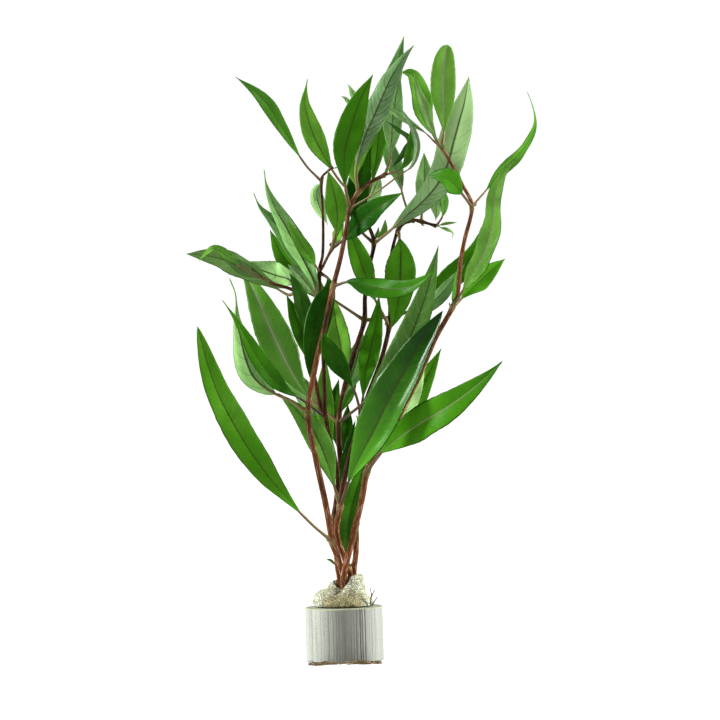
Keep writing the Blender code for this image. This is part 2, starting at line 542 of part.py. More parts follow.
def make_plug(collection):
    """Make the foam plug: a rolled strip, higher at the right, with room for the stems."""
    vertices = []
    for k in range(PLUG_SIDES):
        angle = 2 * math.pi * k / PLUG_SIDES
        lobe = math.sin(2 * angle + 0.7) + 0.6 * math.sin(5 * angle + 1.9)
        off = (math.degrees(angle) - PLUG_DIP_ANGLE + 180) % 360 - 180
        dip = PLUG_DIP * math.exp(-(off / PLUG_DIP_WIDTH) ** 2)
        right = 0.5 + 0.5 * math.cos(angle)
        for left_radius, left_height, right_radius, right_height, loose in PLUG:
            reach = left_radius + (right_radius - left_radius) * right + PLUG_LOBES * loose * lobe
            rise = left_height + (right_height - left_height) * right - dip * loose
            vertices.append(Vector((reach * math.cos(angle), reach * math.sin(angle), rise)) * MM)
    count = len(PLUG)
    faces = []
    for k in range(PLUG_SIDES):
        after = (k + 1) % PLUG_SIDES
        for i in range(count):
            j = (i + 1) % count
            faces.append((k * count + i, after * count + i, after * count + j, k * count + j))
    add_object("foam_plug", mesh_from("foam_plug", vertices, faces), FOAM_COLOUR, collection)


def make_roots(collection):
    for name, table in ROOTS.items():
        path = even_points([Vector(point) * MM for point in table], 14)
        radii = [ROOT_RADIUS * MM * (1.0 - 0.5 * i / 13) for i in range(14)]
        tube(name, path, radii, ROOT_COLOUR, collection)


def centre_on_footprint(collection):
    """Move the plant so that its origin is the middle of its footprint, on the floor."""
    bpy.context.view_layer.update()
    shapes = bpy.context.evaluated_depsgraph_get()
    corners = []
    for part in collection.objects:
        shape = part.evaluated_get(shapes)
        mesh = shape.to_mesh()
        corners += [part.matrix_world @ vertex.co for vertex in mesh.vertices]
        shape.to_mesh_clear()
    root = bpy.data.objects.new("plant_origin", None)
    collection.objects.link(root)
    middle = [(min(c[i] for c in corners) + max(c[i] for c in corners)) / 2 for i in (0, 1)]
    root.location = (-middle[0], -middle[1], 0.0)
    return root


def main():
    for old in list(bpy.data.objects):
        bpy.data.objects.remove(old)
    plant = bpy.data.collections.new("temple_plant")
    cutters = bpy.data.collections.new("cutters")
    bpy.context.scene.collection.children.link(plant)
    bpy.context.scene.collection.children.link(cutters)
    make_ring(plant, cutters)
    make_plug(plant)
    make_roots(plant)
    nodes = make_stems(plant)
    for name, row in LEAVES.items():
        make_leaf(name, row, nodes, plant)
    root = centre_on_footprint(plant)
    for part in list(plant.objects) + list(cutters.objects):
        if part is not root:
            part.parent = root
    bpy.context.view_layer.update()


main()
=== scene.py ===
"""Looks of the temple plant: leaves, stems, foam plug, ceramic ring and roots.

The tables repeat those of the solids: places as (x, height, depth) in millimetres from
the ring's axis. Heights are read along a line of sight that dips a little.
"""

import json
import math
import random

import bpy
from mathutils import Matrix, Vector, noise

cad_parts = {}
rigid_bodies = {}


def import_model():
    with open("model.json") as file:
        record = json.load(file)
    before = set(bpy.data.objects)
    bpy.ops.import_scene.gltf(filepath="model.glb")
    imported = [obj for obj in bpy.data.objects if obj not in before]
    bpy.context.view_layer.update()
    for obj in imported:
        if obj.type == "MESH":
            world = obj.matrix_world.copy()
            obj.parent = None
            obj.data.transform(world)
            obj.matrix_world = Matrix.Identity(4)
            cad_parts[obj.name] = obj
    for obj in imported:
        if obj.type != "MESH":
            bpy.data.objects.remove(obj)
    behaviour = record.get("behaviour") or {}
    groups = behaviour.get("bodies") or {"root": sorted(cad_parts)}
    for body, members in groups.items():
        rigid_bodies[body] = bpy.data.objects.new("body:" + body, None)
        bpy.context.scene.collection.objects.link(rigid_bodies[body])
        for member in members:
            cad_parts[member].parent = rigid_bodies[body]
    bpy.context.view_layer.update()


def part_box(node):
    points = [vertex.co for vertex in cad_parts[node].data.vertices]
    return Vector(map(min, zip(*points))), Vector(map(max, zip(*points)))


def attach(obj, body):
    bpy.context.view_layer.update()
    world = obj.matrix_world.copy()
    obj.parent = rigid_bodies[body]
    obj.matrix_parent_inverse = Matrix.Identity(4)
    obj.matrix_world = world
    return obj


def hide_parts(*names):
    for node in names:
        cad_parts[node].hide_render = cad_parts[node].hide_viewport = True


MM = 0.001
SIGHT_SLOPE = math.tan(math.radians(3.0))
CURVE_STEPS = 400
ROUGH_STEPS = 100
LEAF_SEED = 3
BUD_SEED = 7
SCORE_SEED = 5
ROOT_SEED = 11
WHITE = (1.0, 1.0, 1.0, 1.0)

# Camera: as in the photo, far away with a long lens
CAMERA_DISTANCE = 4.0
CAMERA_LENS = 520.0
CAMERA_SENSOR = 36.0
CAMERA_ELEVATION = 3.0
CAMERA_ROLL = 1.6
CAMERA_AIM = (8.9, 0.0, 115.8)
CAMERA_REACH = 100.0

# Ceramic ring. Beyond the side radius its face is worn and scored.
RING_RADIUS = 15.0
RING_BORE = 9.8
RING_HEIGHT = 21.0
RING_STEPS = 720
RING_SIDE = 14.7
RING_WOBBLE = 0.03
RING_CHIPS = 0.10
NOTCH_RADIUS = 1.3
NOTCH_ANGLES = (-122.0, -62.0)

# Foam plug: uneven lobes, and a dip in its crown. The core by the stems doesn't dip.
PLUG_ROWS = 110
PLUG_STEPS = 240
PLUG_LOBES = 0.3
PLUG_DIP = 3.6
PLUG_DIP_ANGLE = -97.0
PLUG_DIP_WIDTH = 26.0
PLUG_CORE = 4.0
PLUG_RIM = 21.4
PLUG_CROWN = 12.0

# Stems: swelling and scar at a node, lumps, and how far from round the section is
STEM_SIDES = 14
STEM_RING = 1.2
STEM_TAPER = 2.0
STEM_EDGES = 0.05
NODE_SWELL = 0.3
NODE_LENGTH = 1.7
NODE_BARK = 2.6
SCAR_SWELL = 0.14
SCAR_LENGTH = 0.5
LUMP_HEIGHT = 0.05
LUMP_LENGTH = 4.0
TUBE_TEXTURE = 0.01

# Leaves: petiole and midrib
GAP = 0.35
STEEPEST = 0.4
PETIOLE_RADIUS = 0.45
MIDRIB_END = 0.94
MIDRIB_SIDES = 8

# Leaves: fold, arch and skin of the blade, its tapers, and its ragged, wavy and curled margin
FOLD = 0.26
CAMBER = 0.1
LEAF_SKIN = 0.12
DEPTH_SPREAD = 1.5
FOOT_TAPER = 1.5
TIP_TAPER = 1.2
THIN_TIP = 0.055
RAGGED = 0.04
RAGGED_BITS = 40
WAVE_PHASE = 6.3
WAVE_LAG = 1.7
WAVE_POWER = 1.5
CURL_START = 0.5
CURL_HEIGHT = 2.2
CURL_POWER = 1.6
LEAF_ROWS = 56
YOUNG_ROWS = 37
BUD_ROWS = 12
LEAF_COLUMNS = 16
VEIN_SPACING = 6.0

# Stems: radius at the foot, radius at the top, then points; a name marks a node
STEMS = {
    "stem_front_left": (1.3, 0.75, [
        (0.9, 7, -1.2), (0.6, 30, -1.4), (0.1, 33.5, -2.2), (-2.3, 41.6, -4.6),
        ("A1", -3.7, 46.2, -6), (-5.7, 60, -8.5),
        (-9.4, 80, -11), ("A2", -11.6, 96, -12.5), (-8, 115, -13.5), (-4, 130, -14),
        ("A3", -0.5, 144.5, -14.5), (2.5, 155, -14.5), (5, 166, -14),
        ("A4", 6.5, 174, -13.5), ("A6", 10, 180, -13), (15, 184, -12.8),
        ("A5", 20.5, 186.5, -12.5),
    ]),
    "stem_back_left": (1, 0.4, [
        (-1.6, 7, 1.8), (-1.5, 30, 1.8), (-2, 35, 1.8), (-2.5, 43, 1.9), ("B0", -2.9, 55, 2.6),
        (-2, 61, 3), (-0.9, 70, 2.6), (-2, 79, 1.6),
        ("B2", -5, 94, -0.5), (-5.1, 105, -0.5), (-5.2, 118, 0), ("B3", -5.4, 132, 0.5),
        ("B4", -5.7, 150, 1), (-4.3, 157, 2.2), (-3.8, 170, 3), ("B5", -4, 185, 3.5),
        (-2.4, 188, 3.4), ("B6", 0.6, 190.4, 3),
    ]),
    "stem_middle": (1.2, 0.7, [
        (3.8, 7, 2.7), (3.9, 30, 2.8), (5.3, 42, 3.4), (5.5, 50, 4.6), (4.6, 58, 6),
        (2.2, 66, 6.6), (0.4, 76, 6.4), ("C1", 0, 92, 5.6), (2, 103, 6.2), ("C5", 4.2, 110.5, 6.8),
        (8, 122, 8), ("C2", 11, 131, 8.6), (11.5, 140, 9), (13, 150, 9.2),
        ("C3", 15.5, 160.5, 9.2), (13.5, 168, 9), ("C4", 11.7, 174.5, 8.6),
    ]),
    "stem_centre": (1.25, 0.5, [
        (3.2, 7, 0.4), (3.1, 30, 0.3), ("D0", 2, 36, -0.4), (0.6, 40.5, -1),
        (-1.3, 46, -2.2), (-1.9, 51.5, -3.2), ("D1", -0.3, 59.5, -4),
        (1.1, 68, -3.8), (4, 79, -2.5), ("D2", 8.5, 93, 0.6), (12, 103, 3.2), (17, 115.5, 6.4),
        ("D3", 20.5, 128.5, 8.6), (21.2, 140, 9.2), (21.6, 153, 9.3), ("D4", 25, 165.5, 8.6),
        ("D5", 30, 169, 8.2), ("D6", 34, 168.5, 8), ("D7", 39.8, 166.6, 7.6),
    ]),
    "stem_right": (1.3, 0.6, [
        (-0.1, 7, -3.9), (-0.2, 28.5, -3.9), (1.3, 37, -5.6), (3.1, 43.5, -6.2), (5.5, 52.4, -6.6),
        (8.1, 62, -6.9), ("E1", 10.3, 72.5, -7),
        (13, 77, -6.3), ("E5", 17.5, 83, -4.2), (24, 95, -1.2), (31, 108, 1.2), (38, 123, 2.6),
        ("E2", 45, 135, 3), (47.4, 142, 2.4), (48.3, 151, 1.4), (50.4, 161, 0),
        ("E3", 53.5, 173.5, -3), (50, 182, -7), (45, 192, -10), ("E4", 42.5, 196, -11),
    ]),
    "branch_far_left": (0.85, 0.5, [
        (-6.6, 97.3, 1.8), (-8.6, 108, 4), (-10.6, 121, 5), (-12, 134, 5),
        ("F1", -14.5, 142.4, 4.5), ("F2", -25, 146.8, 3.8), (-32, 152, 3.2),
    ]),
    "shoot_inner": (0.6, 0.45, [
        (-4.4, 152.1, -0.9), (-3, 154.8, -2.3), ("H1", -0.6, 159, -3.6), (0.5, 160.6, -4),
    ]),
}

# A leaf's shape: width, turn at the foot and at the tip in degrees, petiole share, widest
# place. Turn 0 shows the upper side to the front, and turn 180 the underside.
# Its look: tone from dark to bright, brown or purple tint, height of the margin's waves in
# millimetres, number of waves, and curl of one margin (its sign is the side). A look that
# stops early goes on as the usual one.
# Its own values: taper of the tip (low is rounder, high has a longer tail) and of the foot
# (low is broader), rib from a dark line (0) to a pale band (1), run (how much brighter the
# tip is than the foot, in part painted shade along the leaf) and stalk (tone of the petiole).
USUAL_LOOK = (0.5, 0.0, 0.4, 3.0, 0.0)

# Leaves with solids: node, shape, look, own values and midrib points
LEAVES = {
    "leaf_front_left_1": ("A1", (11.4, 22, 12, 0.14, 0.45), (0.51, 0, 0.35, 4),
        {"tip": 0.8, "run": 0.1}, [
        (-10.8, 52.7, -12), (-16.8, 59.2, -15), (-22.6, 66.2, -17), (-28.4, 73.6, -19),
        (-35.2, 84, -21), (-41.2, 95, -23), (-45.8, 105, -25), (-49, 115, -26), (-51, 123, -26),
        (-52.7, 130.5, -26)]),
    "leaf_front_left_2": ("A2", (10.6, 165, 175, 0.18, 0.3), (0.70, 0.1, 0.5, 3, 0.3),
        {"tip": 3, "foot": 1}, [
        (-18, 100.8, -12.5), (-23, 103.2, -12), (-28, 106.2, -11.5), (-32.5, 111, -11),
        (-35, 117.6, -10.5), (-36.6, 125, -10.5), (-37.8, 132, -10.5), (-37.9, 138, -10.5),
        (-38.3, 143, -10.5), (-40.5, 149, -10.5)]),
    "leaf_front_left_3": ("A3", (8.4, -32, -18, 0.06, 0.4), (0.12, 0, 0.4, 2.5), {"run": 0.3}, [
        (6, 145.9, -20), (12, 143.9, -25), (20, 142.4, -31), (27, 142.8, -35), (33, 145.3, -39),
        (38.6, 149.3, -42)]),
    "leaf_front_left_4": ("A4", (10.6, 0, 0, 0.1, 0.46), (0.34, 0, 0.4, 3.5), {"run": 0.2}, [
        (5.2, 182, -16), (4.9, 190, -17.5), (5.6, 197, -18.5), (7.6, 204, -19), (10, 211, -19),
        (13, 218, -19), (17, 225, -19)]),
    "leaf_front_left_5": ("A4", (2.6, 150, 165, 0.45, 0.4), (0.45, 0.6, 0.2, 4), {"rib": 0.5}, [
        (15, 178.6, -18), (20, 181.8, -20.5), (26, 186.1, -21.5), (30.6, 189.2, -21),
        (32.8, 195, -21), (32.4, 201, -20.5), (29.8, 207, -20), (25.8, 213.5, -19)]),
    "leaf_front_left_6": ("A5", (3.8, 10, -10, 0.12, 0.5), (0.25, 0.1, 0.4, 3, 0.5), {}, [
        (25, 187.7, -14.5), (28.6, 190.8, -15.5), (30.7, 196.5, -16), (30.8, 204.5, -16)]),
    "leaf_front_left_7": ("A5", (7.6, 175, 180, 0.14, 0.45), (0.60, 0.2), {}, [
        (22.6, 192.3, -10), (23.4, 200, -8), (24, 208, -7), (25.4, 216, -6.5),
        (27.5, 225.5, -6.5)]),
    "leaf_front_left_8": ("A6", (9.2, 176, 165, 0.08, 0.45), (0.58, 0.6, 0.5, 5, 0.2), {}, [
        (9.4, 187, -13.5), (10.6, 194, -14), (13.2, 201.5, -14.5), (16.8, 209, -14.5),
        (20.5, 217, -14), (24.5, 225, -13.5), (28.5, 230.8, -13), (33.2, 236.2, -12.5)]),
    "leaf_back_left_1": ("B2", (7, 20, 26, 0.16, 0.4), (0.25, 0, 0.4, 3.5),
        {"tip": 1.6, "run": 0.45, "stalk": 0}, [
        (-13, 100.6, -3.5), (-19.6, 105, -7.5), (-25, 110, -11), (-30, 117.2, -13.5),
        (-34.2, 125, -15), (-38, 132.4, -15.5), (-43.3, 140.6, -15.5)]),
    "leaf_back_left_2": ("B3", (9, 150, 170, 0.06, 0.42), (0.62, 0.1, 0.6, 3, 0.3), {"tip": 1.8}, [
        (-6.8, 139, -1.6), (-7.8, 146, -1.4), (-10.8, 153, -0.4), (-14.6, 160.5, 0.2),
        (-18.2, 168, 0.4), (-22, 175, 0), (-25, 183, 0), (-26, 190.5, 0)]),
    "leaf_back_left_3": ("B4", (9.8, 12, -8, 0.06, 0.42), (0.01, 0, 0.5), {"run": 0.1}, [
        (-2.4, 147.2, -3.2), (-2.4, 142.6, -5.2), (-4.4, 137.8, -6.6), (-6.8, 131, -7.4),
        (-8.6, 123.5, -7.6), (-9.8, 115, -7), (-9.8, 106.5, -6)]),
    "leaf_back_left_4": ("B4", (5.6, 20, 10, 0.16, 0.45), (0.59, 0.1, 0.3, 2.5), {"run": 0.3}, [
        (-8.4, 154.8, -5.4), (-12.2, 160.6, -7.4), (-14.7, 165, -8), (-17.8, 170.4, -8.4)]),
    "leaf_back_left_5": ("B5", (5.8, 18, 22, 0.18, 0.58), (0.29, 0.1, 0.3),
        {"tip": 1.5, "run": -0.3}, [
        (-9.6, 191, 0.5), (-14.4, 198.6, -3), (-19, 206.6, -5), (-23, 213.4, -7),
        (-28.6, 219.8, -9), (-36, 225.8, -10.5)]),
    "leaf_inner_1": ("H1", (8.8, 5, 0, 0.08, 0.42), (0.62,), {}, [
        (1.4, 167, -6.2), (1.7, 173, -7.4), (0.8, 180, -8), (-1.4, 189, -8)]),
    "leaf_inner_2": ("H1", (9.4, -28, -20, 0.05, 0.4), (0.02,), {"run": 0.2}, [
        (5.7, 163.6, -7.6), (10, 168, -10.4), (15, 172.2, -13.8), (20, 175.6, -17.5),
        (27.2, 179.4, -21)]),
    "leaf_middle_1": ("C4", (8, 10, -10, 0.24, 0.45), (0.68,), {"tip": 1.7}, [
        (8.4, 179.4, 8.4), (4.2, 183.6, 7.6), (0.8, 188.4, 6.8), (-3.1, 195.4, 4.4),
        (-6.6, 203, 2.4), (-9, 211.6, 1), (-9.4, 217, 0.4), (-8.2, 224.6, 0)]),
    "leaf_middle_2": ("C1", (13.6, 14, 4, 0.16, 0.42), (0.56, 0.15, 0.35, 4), {"rib": 0.9}, [
        (-7, 98, 8), (-12.4, 103.6, 9.5), (-17.6, 111.7, 10.5), (-21.6, 120.2, 11.5),
        (-25.8, 130, 13), (-29.7, 140, 15), (-33.1, 147.5, 17), (-37, 153.4, 19)]),
    "leaf_middle_3": ("C1", (11.2, -12, -4, 0.16, 0.42), (0.39, 0.3, 0.3, 6),
        {"run": 0.15, "stalk": 0.1}, [
        (5, 95.6, 0), (9.5, 99, -4), (13, 101.8, -6.5), (17.2, 107, -8.5), (22.4, 113.5, -10),
        (26.8, 121, -11), (31, 130, -11.5), (34.4, 139, -11.5), (37.2, 148, -11),
        (40.2, 159, -10)]),
    "leaf_middle_4": ("C5", (9, -18, -10, 0.06, 0.45), (0.76, 0, 0.4, 2.5), {"tip": 0.7}, [
        (2.8, 115, 2.4), (1.4, 123, 1.2), (0, 131, 1.2), (-0.6, 139, 2)]),
    "leaf_middle_5": ("C2", (9.4, -8, 12, 0.26, 0.42), (0.54,), {}, [
        (4, 136, 8.5), (-3, 141, 11), (-10, 147, 13), (-17.3, 153.7, 14.5), (-21.5, 160, 16),
        (-24.6, 167.4, 17.5)]),
    "leaf_middle_6": ("C2", (9, -18, -10, 0.28, 0.45), (0.40, 0, 0.5), {}, [
        (18, 131.8, 12.2), (25, 132.8, 13.6), (31, 135.8, 14.8), (38, 140.8, 16),
        (44.5, 146, 17.2), (50.4, 151.2, 18), (55.5, 158, 18), (59.4, 168.8, 17)]),
    "leaf_middle_7": ("C3", (12, 172, 185, 0.1, 0.64), (0.88, 0.45, 0.4, 4),
        {"foot": 1, "run": 0.9}, [
        (22, 165.4, 5), (28, 170.6, 2.5), (34, 175.4, 0.5), (40, 181.8, -1), (44.2, 189, -1.6),
        (47, 198, -1.4), (49.4, 206, -0.6), (51.8, 214, 0.4), (53.8, 224, 1.6)]),
    "leaf_middle_8": ("C3", (9, -8, -5, 0.12, 0.45), (0.07,), {"run": 0.1}, [
        (11, 165.2, 5), (9.2, 171, 3), (9.6, 179, 1.4), (11.2, 187, 0.6), (13.2, 195.5, 0.6),
        (17, 203.4, 0.8)]),
    "leaf_middle_9": ("C4", (7, 0, 5, 0.2, 0.7), (0.56, 0, 0.3), {"tip": 1.6}, [
        (14.6, 181, 5), (16, 186.5, 3.6), (17.4, 194, 3.6), (18.6, 203, 3.8), (19.8, 214, 4)]),
    "leaf_middle_10": ("C4", (8.6, 178, 172, 0.1, 0.5), (0.16, 0.2, 0.4, 4), {"run": 0.6}, [
        (12, 186, 11), (14.5, 197, 12.5), (18.5, 208, 13), (22.6, 219, 12), (26.4, 230, 10),
        (29.4, 240.4, 8)]),
    "leaf_centre_1": ("D1", (9.4, 12, 8, 0.04, 0.45), (0.56, 0.2, 0.5), {"run": -0.1}, [
        (-2.7, 69, -6.2), (-4.5, 76, -6.4), (-7.4, 84, -6), (-11.2, 91, -5.4),
        (-16.6, 98, -4.6), (-23.2, 104.2, -4)]),
    "leaf_centre_2": ("D1", (15.6, -12, -8, 0.05, 0.46), (0.21, 0, 0.5, 4, 0.6),
        {"tip": 0.9, "run": -0.65}, [
        (4, 71, -9), (8, 79, -13), (12.4, 87, -16.5), (16.6, 95, -19), (20.6, 102.5, -21),
        (25.8, 111, -22.5), (31.4, 120, -23.5), (36.8, 127.6, -24.5), (41, 133.8, -25)]),
    "leaf_centre_3": ("D2", (8, -12, -4, 0.3, 0.6), (0.07, 0, 0.5), {"stalk": 0.1}, [
        (8, 98, -1.4), (6.4, 104, -4.4), (3, 110.4, -7), (-0.4, 116.4, -9), (-3.4, 122, -11),
        (-5.2, 127, -10.6)]),
    "leaf_centre_4": ("D2", (7.8, -8, 10, 0.05, 0.45), (0.30, 0, 0.9, 4), {"stalk": 0.1}, [
        (10, 104, -0.8), (11.2, 112, -1.4), (13.6, 122, -1.2), (15.6, 131, -0.6), (17, 141, 0.4)]),
    "leaf_centre_5": ("D3", (8.4, 8, 12, 0.2, 0.5), (0.52,), {}, [
        (16.6, 136.5, 5.6), (13.8, 142, 4.6), (12.2, 147.5, 4), (10.2, 153.5, 3.4), (8, 160, 3),
        (5.2, 168, 3)]),
    "leaf_centre_6": ("D4", (12, 4, -4, 0.03, 0.42), (0.50, 0, 0.3), {"tip": 1}, [
        (25.8, 158, 4.4), (25.4, 150, 2.8), (24.8, 142, 2.4), (23.6, 135, 2.6), (21.6, 128, 3.2)]),
    "leaf_centre_7": ("D5", (6.4, 172, 178, 0.24, 0.45), (0.48, 0.2, 0.3), {}, [
        (27.2, 178.5, 8), (26, 185, 8), (23.8, 192, 8), (21.4, 200, 8.6), (19.6, 207.4, 9.4)]),
    "leaf_centre_8": ("D6", (6.8, 176, 170, 0.04, 0.5), (0.64, 0.1, 0.3), {}, [
        (34.8, 176, 9.4), (35.6, 185, 10.4), (35.8, 195.4, 11.4)]),
    "leaf_centre_9": ("D7", (4.6, 20, 60, 0.2, 0.5), (0.31, 0.2, 0.3, 2), {}, [
        (42.2, 170.4, 5.6), (42.9, 175, 4.6), (41.8, 182, 4)]),
    "leaf_centre_10": ("D0", (8.4, 8, 0, 0.04, 0.42), (0.25,), {"foot": 0.6, "run": 0.3}, [
        (1.8, 39.6, 0.4), (2, 44.5, 1), (2.6, 51, 1.4), (3.8, 58.2, 1.8), (5.8, 65, 2.8),
        (8.2, 72, 4.4), (10.4, 79, 5.6)]),
    "leaf_right_1": ("E1", (13.2, -22, -16, 0.04, 0.42), (0.36,), {"rib": 0.3, "run": -0.3}, [
        (15, 79.4, -10), (20, 83, -13.5), (26, 87.5, -18.5), (33, 91.9, -24), (41, 96.3, -29),
        (50, 102.5, -33), (57, 108.2, -36), (63.2, 114.1, -38)]),
    "leaf_right_2": ("E5", (7, 172, 178, 0.1, 0.45), (0.92, 0, 0.5, 3, 0.2), {}, [
        (22, 90, 1.6), (27, 98.5, 3.6), (31, 107, 5.6), (34, 114.5, 7.4)]),
    "leaf_right_3": ("E5", (9.4, -10, -8, 0.08, 0.45), (0.48,), {}, [
        (24, 90.5, 7), (29, 99, 12), (33.5, 107, 15), (37.5, 114, 17), (40.6, 119.6, 18)]),
    "leaf_right_4": ("E2", (9.2, -22, -34, 0.06, 0.34), (0.66, 0.2, 0.9, 4, 0.3),
        {"tip": 1, "rib": 0.4}, [
        (52.4, 146.4, -4), (56.6, 153, -6.4), (59.6, 160, -7.6), (61.6, 168, -8.4),
        (62.8, 178, -8.6), (65.8, 185.6, -7.6), (71.9, 192.5, -5.6)]),
    "leaf_right_5": ("E2", (8, -18, -26, 0.06, 0.42), (0.36, 0, 0.5, 2, -0.2), {}, [
        (52, 141.4, 9), (57, 145.8, 15), (62, 150.2, 20), (66.3, 153.6, 24)]),
    "leaf_right_6": ("E3", (8.8, 20, 20, 0.24, 0.45), (0.22, 0, 0.4, 2.5), {}, [
        (49.6, 178.6, -10), (46, 182.8, -15), (42, 185, -19), (37, 185.6, -23)]),
    "leaf_right_7": ("E3", (4.5, -14, 64, 0.13, 0.32), (0.50, 0.1, 0.4, 4, 0.3),
        {"tip": 1.8, "run": 0.1}, [
        (59.6, 180.2, 2), (63.6, 185.4, 4), (67.6, 189.2, 5), (71.8, 193.2, 6),
        (75.8, 198.2, 7), (78.2, 203.2, 7.4), (78.8, 208, 7.4), (77.8, 213, 7.4), (76, 217.8, 7)]),
    "leaf_right_8": ("E4", (9.8, 4, 0, 0.06, 0.54), (0.72, 0.15, 0.2), {"tip": 0.5, "rib": 0.8}, [
        (43.5, 203, -10), (43.6, 211, -9), (43.6, 219, -8), (44.2, 228, -6.6), (45.7, 236.1, -5)]),
    "leaf_right_9": ("E4", (8.4, 12, 30, 0.05, 0.5), (0.60, 0.1, 0.5), {"tip": 0.8}, [
        (38.4, 203.2, -14), (36.2, 209, -16), (35, 215, -17), (33.6, 221, -17.4),
        (31.4, 224.6, -17.4), (27.8, 225.4, -17.4)]),
    "leaf_right_10": ("E4", (2.8, 172, 170, 0.1, 0.62), (0.71, 0.2, 0.3), {}, [
        (36, 202.5, -10.6), (31, 206, -11), (26, 209.6, -11.6), (20.8, 213, -11)]),
    "leaf_far_left_1": ("F1", (10.4, 160, 168, 0.06, 0.42), (0.72, 0.1, 0.5), {}, [
        (-17.5, 147.6, 9), (-22.5, 149.4, 12), (-27.2, 151.2, 13.5), (-31.5, 153, 13.8),
        (-35.6, 155.6, 13.8)]),
    "leaf_far_left_2": ("F1", (8.8, 20, 20, 0.1, 0.55), (0.50, 0.5, 0.4, 4), {}, [
        (-18.4, 141.8, 6.2), (-24, 145.4, 8.4), (-31, 149.6, 9), (-38, 153.6, 8.6),
        (-46, 157, 7.6), (-57.2, 158.6, 6.4)]),
    "leaf_far_left_3": ("F2", (4.4, 30, 55, 0.34, 0.45), (0.55, 0.2, 0.4, 3, 0.2), {}, [
        (-31.6, 150, 0.8), (-37.4, 154.4, -0.8), (-42.6, 158.2, -1.6), (-46.2, 160, -2),
        (-49.2, 158.2, -2), (-51.9, 155.4, -2)]),
    "leaf_far_left_4": ("B3", (7.6, 168, 172, 0.08, 0.45), (0.45, 0.1), {"tip": 1.8}, [
        (-9.2, 148, 4.6), (-13.4, 156.5, 5), (-19.2, 165.4, 5), (-23.8, 171.2, 5),
        (-28, 176, 5), (-30.4, 181.6, 5)]),
}

